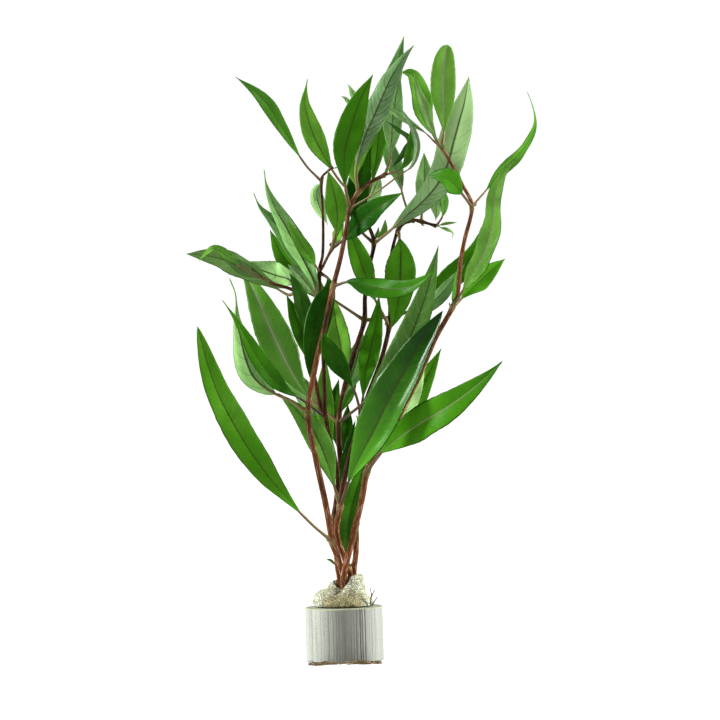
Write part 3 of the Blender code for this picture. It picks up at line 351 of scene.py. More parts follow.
# Small young leaves with no solid of their own: shape, look, own values and points from the
# stem outwards
YOUNG_LEAVES = {
    "young_back_low": ((8.6, 175, 180, 0.1, 0.45), (0.62, 0, 0.5), {}, [
        (-1.4, 67, 6.8), (-4, 79, 11), (-8, 92, 14), (-13, 104, 17), (-20, 112, 19),
        (-28, 122, 22)]),
    "young_right_folded": ((3.4, 60, 70, 0.1, 0.45), (0.36, 0.1, 0.2, 2), {}, [
        (44.6, 133.8, 2), (45.2, 138, 0.4), (45.6, 142, -0.6), (46.2, 146, -1),
        (47.4, 150.4, -1)]),
    "young_centre_pale": ((6, 150, 160, 0.2, 0.45), (0.5, 0.3, 0.5), {}, [
        (20.9, 129, 9.4), (28, 130, 12), (34, 134, 12), (40, 139.5, 10), (45, 145, 9),
        (50.5, 152, 9)]),
    "young_right_top": ((4.2, 8, 14, 0.06, 0.5), (0.50, 0.5, 0.3), {"rib": 0.4}, [
        (42.2, 196.8, -12.4), (38.4, 204.5, -18), (36, 212, -23), (33.6, 219, -26),
        (32.4, 225, -27)]),
    "young_centre_yellow": ((4.4, 170, 175, 0.1, 0.45), (0.80, 0.2, 0.3, 2), {}, [
        (39, 167.2, 7.9), (39.9, 171.2, 9), (39.6, 177, 10), (38.5, 182, 11)]),
    "young_bud_brown": ((3.4, 20, 60, 0.1, 0.4), (0, 0.1, 0.4, 3, 0.4), {}, [
        (21.2, 187, -12.6), (26.3, 193, -14), (30, 197.8, -14.5), (29.3, 200.6, -14.5),
        (25, 204.2, -14), (21, 207.4, -13.5)]),
    "young_bud_bright": ((7.4, -10, -20, 0.05, 0.4), (0.70, 0, 0.3), {}, [
        (9.4, 180.6, -12.4), (8.4, 189.5, -10.5), (11, 196, -10), (14.5, 201, -10),
        (18.5, 208, -9.5)]),
    "young_middle_pale": ((6.6, 175, 178, 0.1, 0.45), (0.80, 0, 0.4, 2), {}, [
        (12, 174.5, 8.8), (15.2, 179.5, 12), (18.7, 187, 13.5)]),
    "young_top_left": ((2.6, 160, 170, 0.1, 0.5), (0.80, 0.1, 0.3, 2), {}, [
        (11.6, 210, -10), (10.2, 214.4, -9), (8.8, 218.4, -8.6), (7.1, 222, -8.5)]),
    "young_top_left_low": ((2, 160, 170, 0.1, 0.5), (0.72, 0.1, 0.3, 2), {}, [
        (10.2, 209.4, -9), (8, 213.6, -8), (6, 216.4, -7.4), (4.3, 217.2, -7.2)]),
    "young_back_curled": ((5.6, 170, 178, 0.05, 0.55), (0.76, 0.1, 0.4, 2, 0.5), {}, [
        (-1.6, 167.4, 3.6), (-4, 172.4, 6), (-5.8, 178, 7), (-5.9, 182, 7), (-3.6, 184.6, 7)]),
    "young_far_ribbed": ((7.2, 172, 176, 0.05, 0.5), (0.74, 0.2, 0.5), {}, [
        (-6.2, 138.5, 3), (-9.6, 144.4, 6), (-13.6, 149.4, 7.5), (-17.8, 153.4, 8)]),
    "young_far_grey": ((4.8, 20, 30, 0.1, 0.5), (0.30, 0.5, 0.4, 2, 0.2), {}, [
        (-24.8, 147.2, 3.8), (-31, 149.8, 2.6), (-38, 153.6, 1.6), (-43.5, 157.2, 0.8)]),
    "young_far_dark": ((6.6, 10, 20, 0.08, 0.5), (0.16, 0.1, 0.6), {}, [
        (-10.2, 121.5, 4.6), (-11.4, 131, 2.6), (-12.8, 138, 2), (-14.6, 144.6, 2),
        (-17.4, 150.2, 2)]),
    "young_far_dark_low": ((6.6, 0, 10, 0.1, 0.5), (0.22, 0, 0.5), {}, [
        (-9, 110, 4.6), (-11.2, 119, 7), (-13.4, 127, 8), (-16.2, 135, 8.6), (-18.8, 142, 9)]),
    "young_middle_low": ((3.4, -10, 0, 0.2, 0.5), (0.35, 0.1, 0.2, 2), {}, [
        (0.4, 93.2, 5), (2.2, 98, 2.6), (4.8, 102.6, 1.4), (7.4, 106.9, 1)]),
    "young_inner_bright": ((4.2, -10, -20, 0.1, 0.45), (0.70, 0, 0.2, 2), {}, [
        (-0.2, 159.6, -3.8), (1.6, 164, -6.5), (4.2, 168.6, -8)]),
    "young_fork_green": ((2.6, 10, 0, 0.1, 0.4), (0.80, 0.2, 0.2, 2), {}, [
        (16, 161.2, 9.4), (19.4, 165, 9), (20.2, 170, 8.6)]),
    "young_fork_green_low": ((1.9, -30, -30, 0.1, 0.4), (0.78, 0.2, 0.2, 2), {}, [
        (15.6, 161.4, 9.2), (17, 164, 8.8), (17.6, 167, 8.6)]),
    "young_shoot_long": ((1.3, -20, -20, 0.1, 0.4), (0.85, 0.4, 0.1, 2), {}, [
        (39.6, 166.6, 7.6), (43.4, 167.4, 6.4), (48, 167.8, 6)]),
    "young_shoot_hook": ((1.5, -10, -60, 0.1, 0.4), (0.85, 0.4, 0.1, 2), {}, [
        (39.7, 166.5, 7.6), (43.6, 165.2, 7), (45.9, 163.8, 7), (45.8, 161.8, 7)]),
    "young_low_wet": ((3.6, -10, 5, 0.04, 0.5), (0.06, 0, 0.3, 4), {}, [
        (0.3, 62.5, -3), (0.5, 69, 0.4), (2, 76, 1.6), (4, 84, 2.6), (6.6, 93.2, 3.6)]),
    "young_low_bright": ((7, 6, -6, 0.1, 0.5), (0.62, 0, 0.5), {}, [
        (-1.6, 77, 2.8), (-3.4, 84, 9), (-4.8, 94, 12), (-5.2, 105, 13), (-4.4, 118, 13)]),
    "young_low_middle": ((5.4, 0, 0, 0.1, 0.5), (0.10, 0, 0.5), {}, [
        (0.2, 78, 7.8), (1.8, 84, 13), (3, 91, 16.5), (3.8, 99, 17.5)]),
    "young_low_dark": ((6, -6, -14, 0.1, 0.45), (0.10, 0, 0.5), {}, [
        (-0.6, 80, 7.6), (-1.4, 86, 12), (-1.6, 94, 15), (-1, 102, 16), (0.6, 109, 16)]),
    "young_back_leaf_two": ((8.6, 175, 180, 0.2, 0.45), (0.40, 0.1, 0.5), {}, [
        (1, 97.5, 6.2), (4.6, 107, 13), (8.2, 118, 17), (10.4, 127, 19)]),
    "young_foot_hook": ((1.3, 20, 40, 0.3, 0.6), (0.62, 0, 0.1, 2), {}, [
        (-2.2, 34.4, 0.2), (-3.2, 37.4, -0.6), (-4.8, 39, -1.4), (-6.4, 39.2, -1.8)]),
}

# Foam plug's section at the left and at the right: radius and height at each, and how loose
# the foam is there. It runs from the axis below, up the outside, over the crown and back in.
PLUG = [
    (0.01, 4.0, 0.01, 4.0, 0.0), (9.4, 4.0, 9.4, 4.0, 0.0), (9.4, 20.2, 9.4, 20.2, 0.0),
    (9.5, 21.4, 9.5, 21.4, 0.0), (11.0, 21.5, 11.2, 21.5, 0.0), (11.6, 23.4, 10.7, 23.2, 0.2),
    (11.0, 25.6, 8.8, 26.0, 0.4), (8.9, 26.9, 8.0, 29.2, 0.6), (5.8, 28.2, 7.7, 32.0, 0.9),
    (4.8, 30.2, 6.9, 33.5, 1.0), (4.5, 28.8, 6.5, 32.0, 0.8), (4.2, 27.2, 5.2, 30.4, 0.8),
    (3.2, 26.4, 4.2, 29.6, 0.9), (1.6, 26.6, 2.4, 29.4, 1.0), (0.01, 27.4, 0.01, 27.4, 0.6),
]

# Main roots that leave through the ring's notches and lie on the surface, (x, y, z)
ROOTS = {
    "root_left": [
        (-2.6, -4.2, 2.6), (-3.7, -6.0, 1.8), (-5.0, -8.0, 0.62), (-6.6, -10.6, 0.6),
        (-8.2, -13.1, 0.6), (-9.3, -15.8, 0.58), (-11.2, -17.8, 0.55), (-12.0, -20.4, 0.55),
        (-14.4, -22.0, 0.55)],
    "root_right": [
        (2.4, -4.4, 2.6), (3.2, -6.0, 1.8), (4.3, -8.1, 0.62), (5.6, -10.6, 0.6),
        (7.1, -13.4, 0.6), (7.9, -15.8, 0.58), (9.4, -17.6, 0.55), (9.9, -20.2, 0.55),
        (12.4, -23.4, 0.55)],
}
ROOT_RADIUS = 0.42
ROOT_STEPS = 60

# Hair roots: they stay on the surface in front of the ring, and pile up no higher than the top.
# For long and short ones, the ranges of steps and of radii.
HAIR_ROOTS = 90
HAIR_FLOOR = 0.22
HAIR_TOP = 1.7
HAIR_FRONT = -23.2
HAIR_SIDE = 14.4
HAIR_CLEAR = 15.5
HAIR_LONG = ((12, 20), (0.16, 0.24))
HAIR_SHORT = ((5, 11), (0.08, 0.17))

# Roots that grow up over the ring's rim
RIM_ROOTS = [
    [(10.3, 21.2, -6), (10.5, 23.3, -6.4), (10.7, 25.5, -6.6), (10.4, 28, -6.6)],
    [(10.7, 24.4, -6.5), (11.3, 25.8, -6.7), (12.2, 27.2, -6.6)],
    [(10.9, 21.2, -6), (11.5, 22.2, -6.2), (12.4, 23.5, -6.3), (13.2, 24.6, -6.2)],
]
RIM_ROOT_RADIUS = 0.28
RIM_ROOT_STEPS = 26

# Scored lines round the ring: many faint ones, and the main ones in front by their angle
# from the front in degrees, depth in millimetres and half width in steps
SCORED_LINES = 60
MAIN_SCORES = [
    (-55.7, 0.30, 0.7), (-44.4, 0.14, 0.6), (-36.0, 0.12, 0.6), (-22.8, 0.16, 0.7),
    (-16.0, 0.12, 0.6), (-10.8, 0.16, 0.7), (-3.0, 0.10, 0.6), (9.0, 0.12, 0.7),
    (17.5, 0.26, 1.1), (24.0, 0.42, 1.4), (27.2, 0.34, 1.0), (32.2, 0.42, 1.2),
    (51.0, 0.12, 0.9),
]

# Branches that grow out of a stem: the place inside the stem where each starts
BRANCH_FEET = {
    "branch_far_left": (-5.4, 95.0, 0.2),
    "shoot_inner": (-5.7, 150.2, 0.8),
}

# How light each stem's bark is above its foot
STEM_TONES = {
    "stem_front_left": 0.47, "stem_back_left": 0.20, "stem_middle": 0.16, "stem_centre": 0.18,
    "stem_right": 0.62, "branch_far_left": 0.35, "shoot_inner": 0.45,
}

# Leaves with a wet shine, and how glossy the upper sides are
WET_LEAVES = ("leaf_centre_2", "leaf_centre_10", "leaf_middle_2")
UPPER_GLOSS = 0.015
WET_GLOSS = 0.11
LEAF_IOR = 1.4

# Height of each skin's fine relief, in metres
LEAF_RELIEF = 0.0001
ROOT_RELIEF = 0.0002
CLAY_RELIEF = 0.0002
BARK_RELIEF = 0.0003
FOAM_RELIEF = 0.0003

# Colours
UPPER_DARK = (0.003, 0.030, 0.002)
UPPER_GREEN = (0.040, 0.165, 0.005)
UPPER_BRIGHT = (0.19, 0.44, 0.05)
UPPER_TINT = (0.16, 0.20, 0.11)
UPPER_LACE = (0.27, 0.34, 0.17)
UPPER_WASH = (0.30, 0.42, 0.22)
UPPER_EDGE = (0.020, 0.060, 0.004)
UNDER_DARK = (0.012, 0.050, 0.010)
UNDER_GREEN = (0.080, 0.210, 0.045)
UNDER_SAGE = (0.32, 0.53, 0.19)
UNDER_TINT = (0.095, 0.125, 0.095)
UNDER_STRIPE = (0.32, 0.37, 0.29)
UNDER_EDGE = (0.04, 0.09, 0.02)
RIB_DARK = (0.030, 0.042, 0.008)
RIB_PALE = (0.42, 0.44, 0.26)
STALK_DARK = (0.030, 0.018, 0.006)
STALK_OLIVE = (0.19, 0.16, 0.06)
STALK_RED = (0.14, 0.050, 0.025)
STEM_DARK = (0.022, 0.009, 0.004)
STEM_BROWN = (0.148, 0.050, 0.016)
# Painted pinkish highlight along the stems
STEM_HIGHLIGHT_PINK = (0.46, 0.31, 0.22)
SCAR_DARK = (0.06, 0.045, 0.012)
SCAR_PALE = (0.24, 0.18, 0.08)
FOAM_BODY = (0.215, 0.205, 0.105)
# Painted shade of the foam low on its crown by the ring's rim
FOAM_SHADE = (0.15, 0.130, 0.052)
FOAM_GRAIN = (0.59, 0.64, 0.56)
# The foam's grains in that painted shade
FOAM_GRAIN_SHADED = (0.38, 0.345, 0.20)
# Painted shade in the foam's pores
FOAM_PORE_SHADE = (0.10, 0.09, 0.035)
CLAY_DARK = (0.215, 0.228, 0.200)
CLAY_LIGHT = (0.285, 0.300, 0.262)
# Painted shade down the middle of the ring's front
CLAY_FRONT_SHADE = (0.125, 0.125, 0.105)
CLAY_LINE = (0.07, 0.07, 0.055)
CLAY_DUST = (0.35, 0.37, 0.325)
# Painted lime-tinged highlight along the ring's lip
CLAY_LIP_HIGHLIGHT = (0.30, 0.34, 0.11)
CLAY_SPECK = (0.05, 0.045, 0.03)
ROOT_DARK = (0.06, 0.033, 0.009)
ROOT_PALE = (0.19, 0.13, 0.05)

# Stage: a big pale floor that glows a little, and a studio brighter behind than in front
FLOOR_HALF = 60.0
FLOOR_DROP = 0.0001
FLOOR_GLOW = 0.97
FLOOR_DARK = (0.23, 0.23, 0.23)
FLOOR_LIGHT = (0.27, 0.27, 0.27)
WORLD_FADE = (-0.3, 0.85)
WORLD_FRONT = 0.15
WORLD_BACK = 0.6

# Lights: azimuth, height angle, distance, size, power
LIGHTS = [
    ("left", -92.0, 20.0, 1.2, 0.32, 36.0),
    ("right", 92.0, 18.0, 1.2, 0.32, 34.0),
    ("top", -20.0, 60.0, 1.2, 0.35, 4.0),
]


def place(point):
    """Return a table point as a position in metres from the ring's axis."""
    x, height, depth = point
    return Vector((x, depth, height - depth * SIGHT_SLOPE)) * MM


def curve_point(points, at):
    """Return the point at parameter at (0 to 1) of a smooth curve through points."""
    last = len(points) - 1
    span = min(int(at * last), last - 1)
    t = at * last - span
    p1, p2 = points[span], points[span + 1]
    p0 = points[span - 1] if span else p1 * 2 - p2
    p3 = points[span + 2] if span + 2 <= last else p2 * 2 - p1
    return 0.5 * (2 * p1 + (p2 - p0) * t + (2 * p0 - 5 * p1 + 4 * p2 - p3) * t * t
                  + (3 * p1 - p0 - 3 * p2 + p3) * t ** 3)


def curve(points, steps):
    """Return the points of the smooth curve through points, at equal parameter steps."""
    return [curve_point(points, i / steps) for i in range(steps + 1)]


def running_lengths(points):
    """Return the length of a chain of points up to each of them."""
    lengths = [0.0]
    for before, after in zip(points, points[1:]):
        lengths.append(lengths[-1] + (after - before).length)
    return lengths


def even_points(points, count):
    """Return count points, evenly spaced along the smooth curve through points."""
    fine = curve(points, CURVE_STEPS)
    lengths = running_lengths(fine)
    result = []
    step = 0
    for i in range(count):
        wanted = lengths[-1] * i / (count - 1)
        while step < CURVE_STEPS - 1 and lengths[step + 1] < wanted:
            step += 1
        share = (wanted - lengths[step]) / (lengths[step + 1] - lengths[step])
        result.append(fine[step].lerp(fine[step + 1], min(share, 1.0)))
    return result


def tangents(points):
    """Return the unit direction of a chain of points at each of them."""
    last = len(points) - 1
    return [(points[min(i + 1, last)] - points[max(i - 1, 0)]).normalized()
            for i in range(last + 1)]


def smooth(low, high, value):
    """Return 0 below low and 1 above high, with a soft step between them."""
    t = min(max((value - low) / (high - low), 0.0), 1.0)
    return t * t * (3 - 2 * t)


def bell(distance, width):
    """Return 1 at no distance, falling off smoothly over the width."""
    return math.exp(-(distance / width) ** 2)


class Build:
    """Collects vertices with their texture place and values, and faces with a material."""

    def __init__(self):
        self.points = []
        self.places = []
        self.values = []
        self.faces = []
        self.slots = []

    def vertex(self, point, place_uv, value=0.0):
        self.points.append(point)
        self.places.append(place_uv)
        self.values.append(value)
        return len(self.points) - 1

    def face(self, corners, slot=0):
        self.faces.append(corners)
        self.slots.append(slot)

    def mesh(self, name, materials, facts=()):
        """Make the mesh. facts are (name, number) pairs, the same at every vertex."""
        mesh = bpy.data.meshes.new(name)
        mesh.from_pydata(self.points, [], self.faces)
        for one in materials:
            mesh.materials.append(one)
        mesh.polygons.foreach_set("material_index", self.slots)
        mesh.polygons.foreach_set("use_smooth", [True] * len(self.faces))
        layer = mesh.uv_layers.new(name="place")
        for loop in mesh.loops:
            layer.data[loop.index].uv = self.places[loop.vertex_index]
        columns = [(fact, [float(number)] * len(self.points)) for fact, number in facts]
        for title, column in [("along", self.values)] + columns:
            made = mesh.attributes.new(title, "FLOAT", "POINT")
            made.data.foreach_set("value", column)
        mesh.update()
        return mesh


def show(thing):
    """Put an object in the scene."""
    bpy.context.scene.collection.objects.link(thing)
    return thing


def add_piece(name, mesh, nodes=()):
    """Put a piece at the ring's axis, on the plant's body, in place of its solids."""
    piece = show(bpy.data.objects.new(name, mesh))
    piece.location = RING_AXIS
    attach(piece, "root")
    if nodes:
        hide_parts(*nodes)
    return piece


def add_tube(build, path, radii, sides, slot=0, shape=None, values=None):
    """Add a closed tube along path. shape(turn) scales the radius round the section."""
    ways = tangents(path)
    side = ways[0].orthogonal().normalized()
    lengths = running_lengths(path)
    rings = []
    for i, (point, way, radius) in enumerate(zip(path, ways, radii)):
        side = (side - way * side.dot(way)).normalized()
        other = way.cross(side)
        ring = []
        for k in range(sides):
            turn = 2 * math.pi * k / sides
            reach = radius * (shape(turn) if shape else 1.0)
            spot = point + (side * math.cos(turn) + other * math.sin(turn)) * reach
            value = values[i] if values else 0.0
            ring.append(build.vertex(spot, (k / sides, lengths[i] / TUBE_TEXTURE), value))
        rings.append(ring)
    for before, after in zip(rings, rings[1:]):
        for k in range(sides):
            j = (k + 1) % sides
            build.face((before[k], before[j], after[j], after[k]), slot)
    build.face(tuple(reversed(rings[0])), slot)
    build.face(tuple(rings[-1]), slot)


# Stems


def stem_path(name, table):
    """Return evenly spaced points along a stem, from inside its parent if it is a branch."""
    points = [place(row[-3:]) for row in table]
    if name in BRANCH_FEET:
        points = [place(BRANCH_FEET[name])] + points
    length = running_lengths(curve(points, ROUGH_STEPS))[-1]
    return even_points(points, int(length / (STEM_RING * MM)) + 2)


def make_stem(name, foot, top, table, bark):
    """Make one stem, swollen at its nodes, and return its nodes' places."""
    path = stem_path(name, table)
    named = {row[0]: place(row[-3:]) for row in table if len(row) == 4}
    ways = tangents(path)
    lengths = running_lengths(path)
    radii = []
    nearness = []
    for point, length in zip(path, lengths):
        gap = min((point - spot).length / MM for spot in named.values())
        plain = foot + (top - foot) * (length / lengths[-1]) ** STEM_TAPER
        lump = LUMP_HEIGHT * noise.noise(point / (LUMP_LENGTH * MM))
        knot = NODE_SWELL * bell(gap, NODE_LENGTH)
        scar = SCAR_SWELL * bell(gap, SCAR_LENGTH)
        radii.append((plain + knot + scar + lump) * MM)
        nearness.append(bell(gap, NODE_BARK))
    build = Build()
    add_tube(build, path, radii, STEM_SIDES, values=nearness,
             shape=lambda turn: 1.0 + STEM_EDGES * math.cos(4 * turn))
    facts = [("tone", STEM_TONES[name])]
    add_piece(name + "_bark", build.mesh(name, [bark], facts), [name])
    nodes = {}
    for key, spot in named.items():
        nearest = min(range(len(path)), key=lambda i: (path[i] - spot).length)
        share = lengths[nearest] / lengths[-1]
        radius = (foot + (top - foot) * share ** STEM_TAPER + NODE_SWELL) * MM
        nodes[key] = (spot, ways[nearest], radius)
    return nodes


# Leaves


def leaf_start(node, towards):
    """Return where a petiole leaves its stem's surface."""
    spot, way, radius = node
    line = (towards - spot).normalized()
    along = abs(line.dot(way))
    across = max(math.sqrt(max(1.0 - along * along, 0.0)), STEEPEST)
    reach = (radius + (GAP + PETIOLE_RADIUS * along) * MM) / across
    return spot + line * reach


def leaf_points(node_depth, table):
    """Return a leaf's midrib points, spread in depth away from the node it grows from."""
    return [place((x, height, node_depth + (depth - node_depth) * DEPTH_SPREAD))
            for x, height, depth in table]


def swell(at, power):
    """Return a smooth rise from 0 to 1, slow to start where power is high."""
    return (1.0 + power) * at ** power - power * at ** (1.0 + power)


def blade_share(at, petiole, widest, foot, tip):
    """Return the blade's width, as a share of its widest, at a share of the length."""
    if at <= petiole:
        return 0.0
    along = (at - petiole) / (1.0 - petiole)
    if along < widest:
        return swell(along / widest, foot)
    return swell((1.0 - along) / (1.0 - widest), tip)


def leaf_frame(way, shape, at):
    """Return a leaf's normal and its side direction, turned about its midrib."""
    foot_turn, tip_turn = shape[1:3]
    turn = math.radians(foot_turn + (tip_turn - foot_turn) * at)
    front = Vector((0.0, -1.0, 0.0))
    normal = (front - way * front.dot(way)).normalized()
    side = way.cross(normal)
    turned = normal * math.cos(turn) + side * math.sin(turn)
    return turned, way.cross(turned)


def blade_lift(u, half, share, at, look, phase):
    """Return how far a blade stands off its midrib's plane at u, from -1 to 1 across."""
    wave, waves, curl = look[2:]
    lift = half * (FOLD * abs(u) - CAMBER * u * u)
    beat = 2 * math.pi * waves * at + phase + (WAVE_LAG if u > 0 else 0.0)
    lift += wave * MM * share * abs(u) ** WAVE_POWER * math.sin(beat)
    if u * curl > 0:
        lift += half * abs(curl) * CURL_HEIGHT * max(abs(u) - CURL_START, 0.0) ** CURL_POWER
    return lift


def add_blade(build, path, ways, first, shape, look, tapers):
    """Add a thin blade along path from its first row, with an upper side and an underside."""
    width, petiole, widest = shape[0], *shape[3:]
    rows = len(path) - 1
    lengths = running_lengths(path)
    blade = lengths[-1] - lengths[first]
    veins = max(3, round(blade / (VEIN_SPACING * MM)))
    phase = WAVE_PHASE * noise.random_vector().x
    upper, under = [], []
    for i in range(first, rows):
        at = i / rows
        normal, side = leaf_frame(ways[i], shape, at)
        share = max(blade_share(at, petiole, widest, *tapers), THIN_TIP)
        half = width / 2 * share * MM
        along = (lengths[i] - lengths[first]) / blade
        top_row, low_row = [], []
        for k in range(LEAF_COLUMNS + 1):
            u = 2 * k / LEAF_COLUMNS - 1
            bit = Vector((along * RAGGED_BITS + phase, u * 2, phase))
            ragged = 1 + RAGGED * noise.noise(bit)
            lift = blade_lift(u, half, share, at, look, phase)
            middle = path[i] + side * (u * half * ragged) + normal * lift
            skin = normal * LEAF_SKIN * MM * (1 - u ** 6)
            spot = (u * 0.5 + 0.5, along * veins)
            top_row.append(build.vertex(middle + skin, spot, along))
            edge = abs(u) == 1
            low_row.append(top_row[-1] if edge else build.vertex(middle - skin, spot, along))
        upper.append(top_row)
        under.append(low_row)
    for before, after in zip(upper, upper[1:]):
        for k in range(LEAF_COLUMNS):
            build.face((before[k + 1], before[k], after[k], after[k + 1]), 0)
    for before, after in zip(under, under[1:]):
        for k in range(LEAF_COLUMNS):
            build.face((before[k], before[k + 1], after[k + 1], after[k]), 1)
    tip = build.vertex(path[-1], (0.5, veins), 1.0)
    for k in range(LEAF_COLUMNS):
        build.face((upper[-1][k + 1], upper[-1][k], tip), 0)
        build.face((under[-1][k], under[-1][k + 1], tip), 1)
    build.face(tuple(upper[0] + under[0][-2:0:-1]), 0)


def make_leaf(name, foot, path, leaf, materials, nodes=()):
    """Make one leaf along path: its blade, and its petiole and midrib from the foot."""
    shape, look, own = leaf
    look = look + USUAL_LOOK[len(look):]
    petiole = shape[3]
    tapers = own.get("foot", FOOT_TAPER), own.get("tip", TIP_TAPER)
    ways = tangents(path)
    first = int(petiole * (len(path) - 1)) + 1
    build = Build()
    add_blade(build, path, ways, first, shape, look, tapers)
    add_midrib(build, foot, path, ways, first, shape)
    facts = [("tone", look[0]), ("tint", look[1]), ("rib", own.get("rib", 0.0)),
             ("run", own.get("run", 0.0)), ("stalk", own.get("stalk", look[0]))]
    return add_piece(name + "_leaf", build.mesh(name, materials, facts), nodes)


def add_midrib(build, foot, path, ways, first, shape):
    """Add the petiole and the midrib, which stands out on the blade's underside."""
    rows = len(path) - 1
    last = int(rows * MIDRIB_END)
    stalk = min(PETIOLE_RADIUS * 1.25, 0.24 + shape[0] * 0.035)
    spots, radii, shares = [foot], [stalk * 1.25 * MM], [0.0]
    for i in range(last + 1):
        normal = leaf_frame(ways[i], shape, i / rows)[0]
        on_blade = max(i - first, 0) / (last - first)
        radius = stalk * (1 - 0.35 * smooth(0, 0.12, on_blade)) * (1 - 0.85 * on_blade)
        flare = 1 + 0.35 * math.exp(-i / 2.0)
        sink = 0.75 * smooth(0.0, 0.1, on_blade)
        spots.append(path[i] - normal * radius * sink * MM)
        radii.append(radius * flare * MM)
        shares.append(on_blade)
    add_tube(build, spots, radii, MIDRIB_SIDES, slot=2, values=shares)


def make_leaves(nodes, dry_skins, wet_skins):
    """Make the leaves that have solids, then the young ones, which have none."""
    for name, (node_name, *leaf, table) in LEAVES.items():
        node = nodes[node_name]
        points = leaf_points(node[0].y / MM, table)
        path = even_points([leaf_start(node, points[0])] + points, LEAF_ROWS + 1)
        materials = wet_skins if name in WET_LEAVES else dry_skins
        make_leaf(name, node[0], path, leaf, materials, [name])
    for name, (*leaf, table) in YOUNG_LEAVES.items():
        points = [place(point) for point in table]
        make_leaf(name, points[0], even_points(points, YOUNG_ROWS + 1), leaf, dry_skins)


def make_buds(nodes, materials):
    """Make the tiny bud leaf that sits in each node's axil."""
    dice = random.Random(BUD_SEED)
    for key, (spot, way, radius) in nodes.items():
        side = way.orthogonal().normalized()
        side.rotate(Matrix.Rotation(dice.uniform(0, 2 * math.pi), 3, way))
        length = dice.uniform(1.2, 2.6) * MM
        points = [spot + side * radius * 0.7,
                  spot + side * (radius + length * 0.25) + way * length * 0.45,
                  spot + side * (radius + length * 0.38) + way * length]
        look = (dice.uniform(0.1, 0.7), dice.uniform(0.1, 0.7), 0.1, 2.0)
        shape = (dice.uniform(0.5, 0.9), dice.uniform(-60, 60), dice.uniform(-60, 60), 0.1, 0.4)
        path = even_points(points, BUD_ROWS + 1)
        make_leaf(f"bud_{key}_0", points[0], path, (shape, look, {}), materials)


# Ring, plug and roots


def scored_lines():
    """Return how deep the clay is scored at each step round the ring, in millimetres."""
    dice = random.Random(SCORE_SEED)
    depths = [0.0] * RING_STEPS
    for _ in range(SCORED_LINES):
        middle = dice.uniform(0, RING_STEPS)
        depth = dice.uniform(0.02, 0.10)
        wide = dice.uniform(0.4, 1.1)
        for k in range(RING_STEPS):
            off = (k - middle + RING_STEPS / 2) % RING_STEPS - RING_STEPS / 2
            depths[k] += depth * bell(off, wide)
    for degrees, depth, wide in MAIN_SCORES:
        middle = (degrees - 90.0) % 360.0 / 360.0 * RING_STEPS
        for k in range(RING_STEPS):
            depths[k] += depth * bell(k - middle, wide)
    return depths


def ring_profile():
    """Return the ring's section, up the bore, over the lip, down the side and along the foot."""
    profile = [(RING_BORE + 0.5, 0.0), (RING_BORE + 0.15, 0.15), (RING_BORE, 0.5)]
    profile += [(RING_BORE, z) for z in (4, 8, 12, 16, 20.5)]
    profile += [(RING_BORE + 0.15, 20.85), (RING_BORE + 0.5, 21.0)]
    profile += [(r, RING_HEIGHT) for r in (11.2, 12.4, 13.4, 14.2)]
    profile += [(14.6, 21.0), (14.86, 20.9), (14.97, 20.72), (15.0, 20.4)]
    profile += [(RING_RADIUS, 20.0 - 1.6 * i) for i in range(12)]
    profile += [(RING_RADIUS, z) for z in (1.6, 1.2, 0.9, 0.6)]
    profile += [(14.95, 0.3), (14.8, 0.1), (14.5, 0.0)]
    return profile + [(r, 0.0) for r in (13.6, 12.6, 11.6, 10.9)]


def make_ring(clay):
    """Make the ring: a turned tube with fine scored lines and two root notches."""
    profile = ring_profile()
    depths = scored_lines()
    build = Build()
    rings = []
    for k in range(RING_STEPS):
        turn = 2 * math.pi * k / RING_STEPS
        round_spot = Vector((math.cos(turn), math.sin(turn), 0))
        broad = RING_WOBBLE * noise.noise(round_spot * 5)
        ring = []
        for radius, z in profile:
            outside = radius > RING_SIDE
            chip_spot = round_spot * 60 + Vector((0, 0, z * 0.8))
            chip = RING_CHIPS * max(noise.noise(chip_spot), 0) ** 2
            worn = depths[k] * (0.8 + 0.3 * noise.noise(Vector((k * 0.1, z * 0.3, 0))))
            reach = radius + (broad - worn - chip if outside else 0.0)
            for angle in NOTCH_ANGLES:
                aside = reach * math.sin(turn - math.radians(angle))
                facing = math.cos(turn - math.radians(angle)) > 0
                if facing and abs(aside) < NOTCH_RADIUS:
                    z = max(z, math.sqrt(NOTCH_RADIUS ** 2 - aside ** 2))
            spot = Vector((reach * math.cos(turn), reach * math.sin(turn), z)) * MM
            ring.append(build.vertex(spot, (k / RING_STEPS, worn * outside), z / RING_HEIGHT))
        rings.append(ring)
    for here, there in zip(rings, rings[1:] + rings[:1]):
        for j in range(len(profile)):
            n = (j + 1) % len(profile)
            build.face((here[j], here[n], there[n], there[j]))
    add_piece("ring_body", build.mesh("ring_body", [clay]), ["ring"])


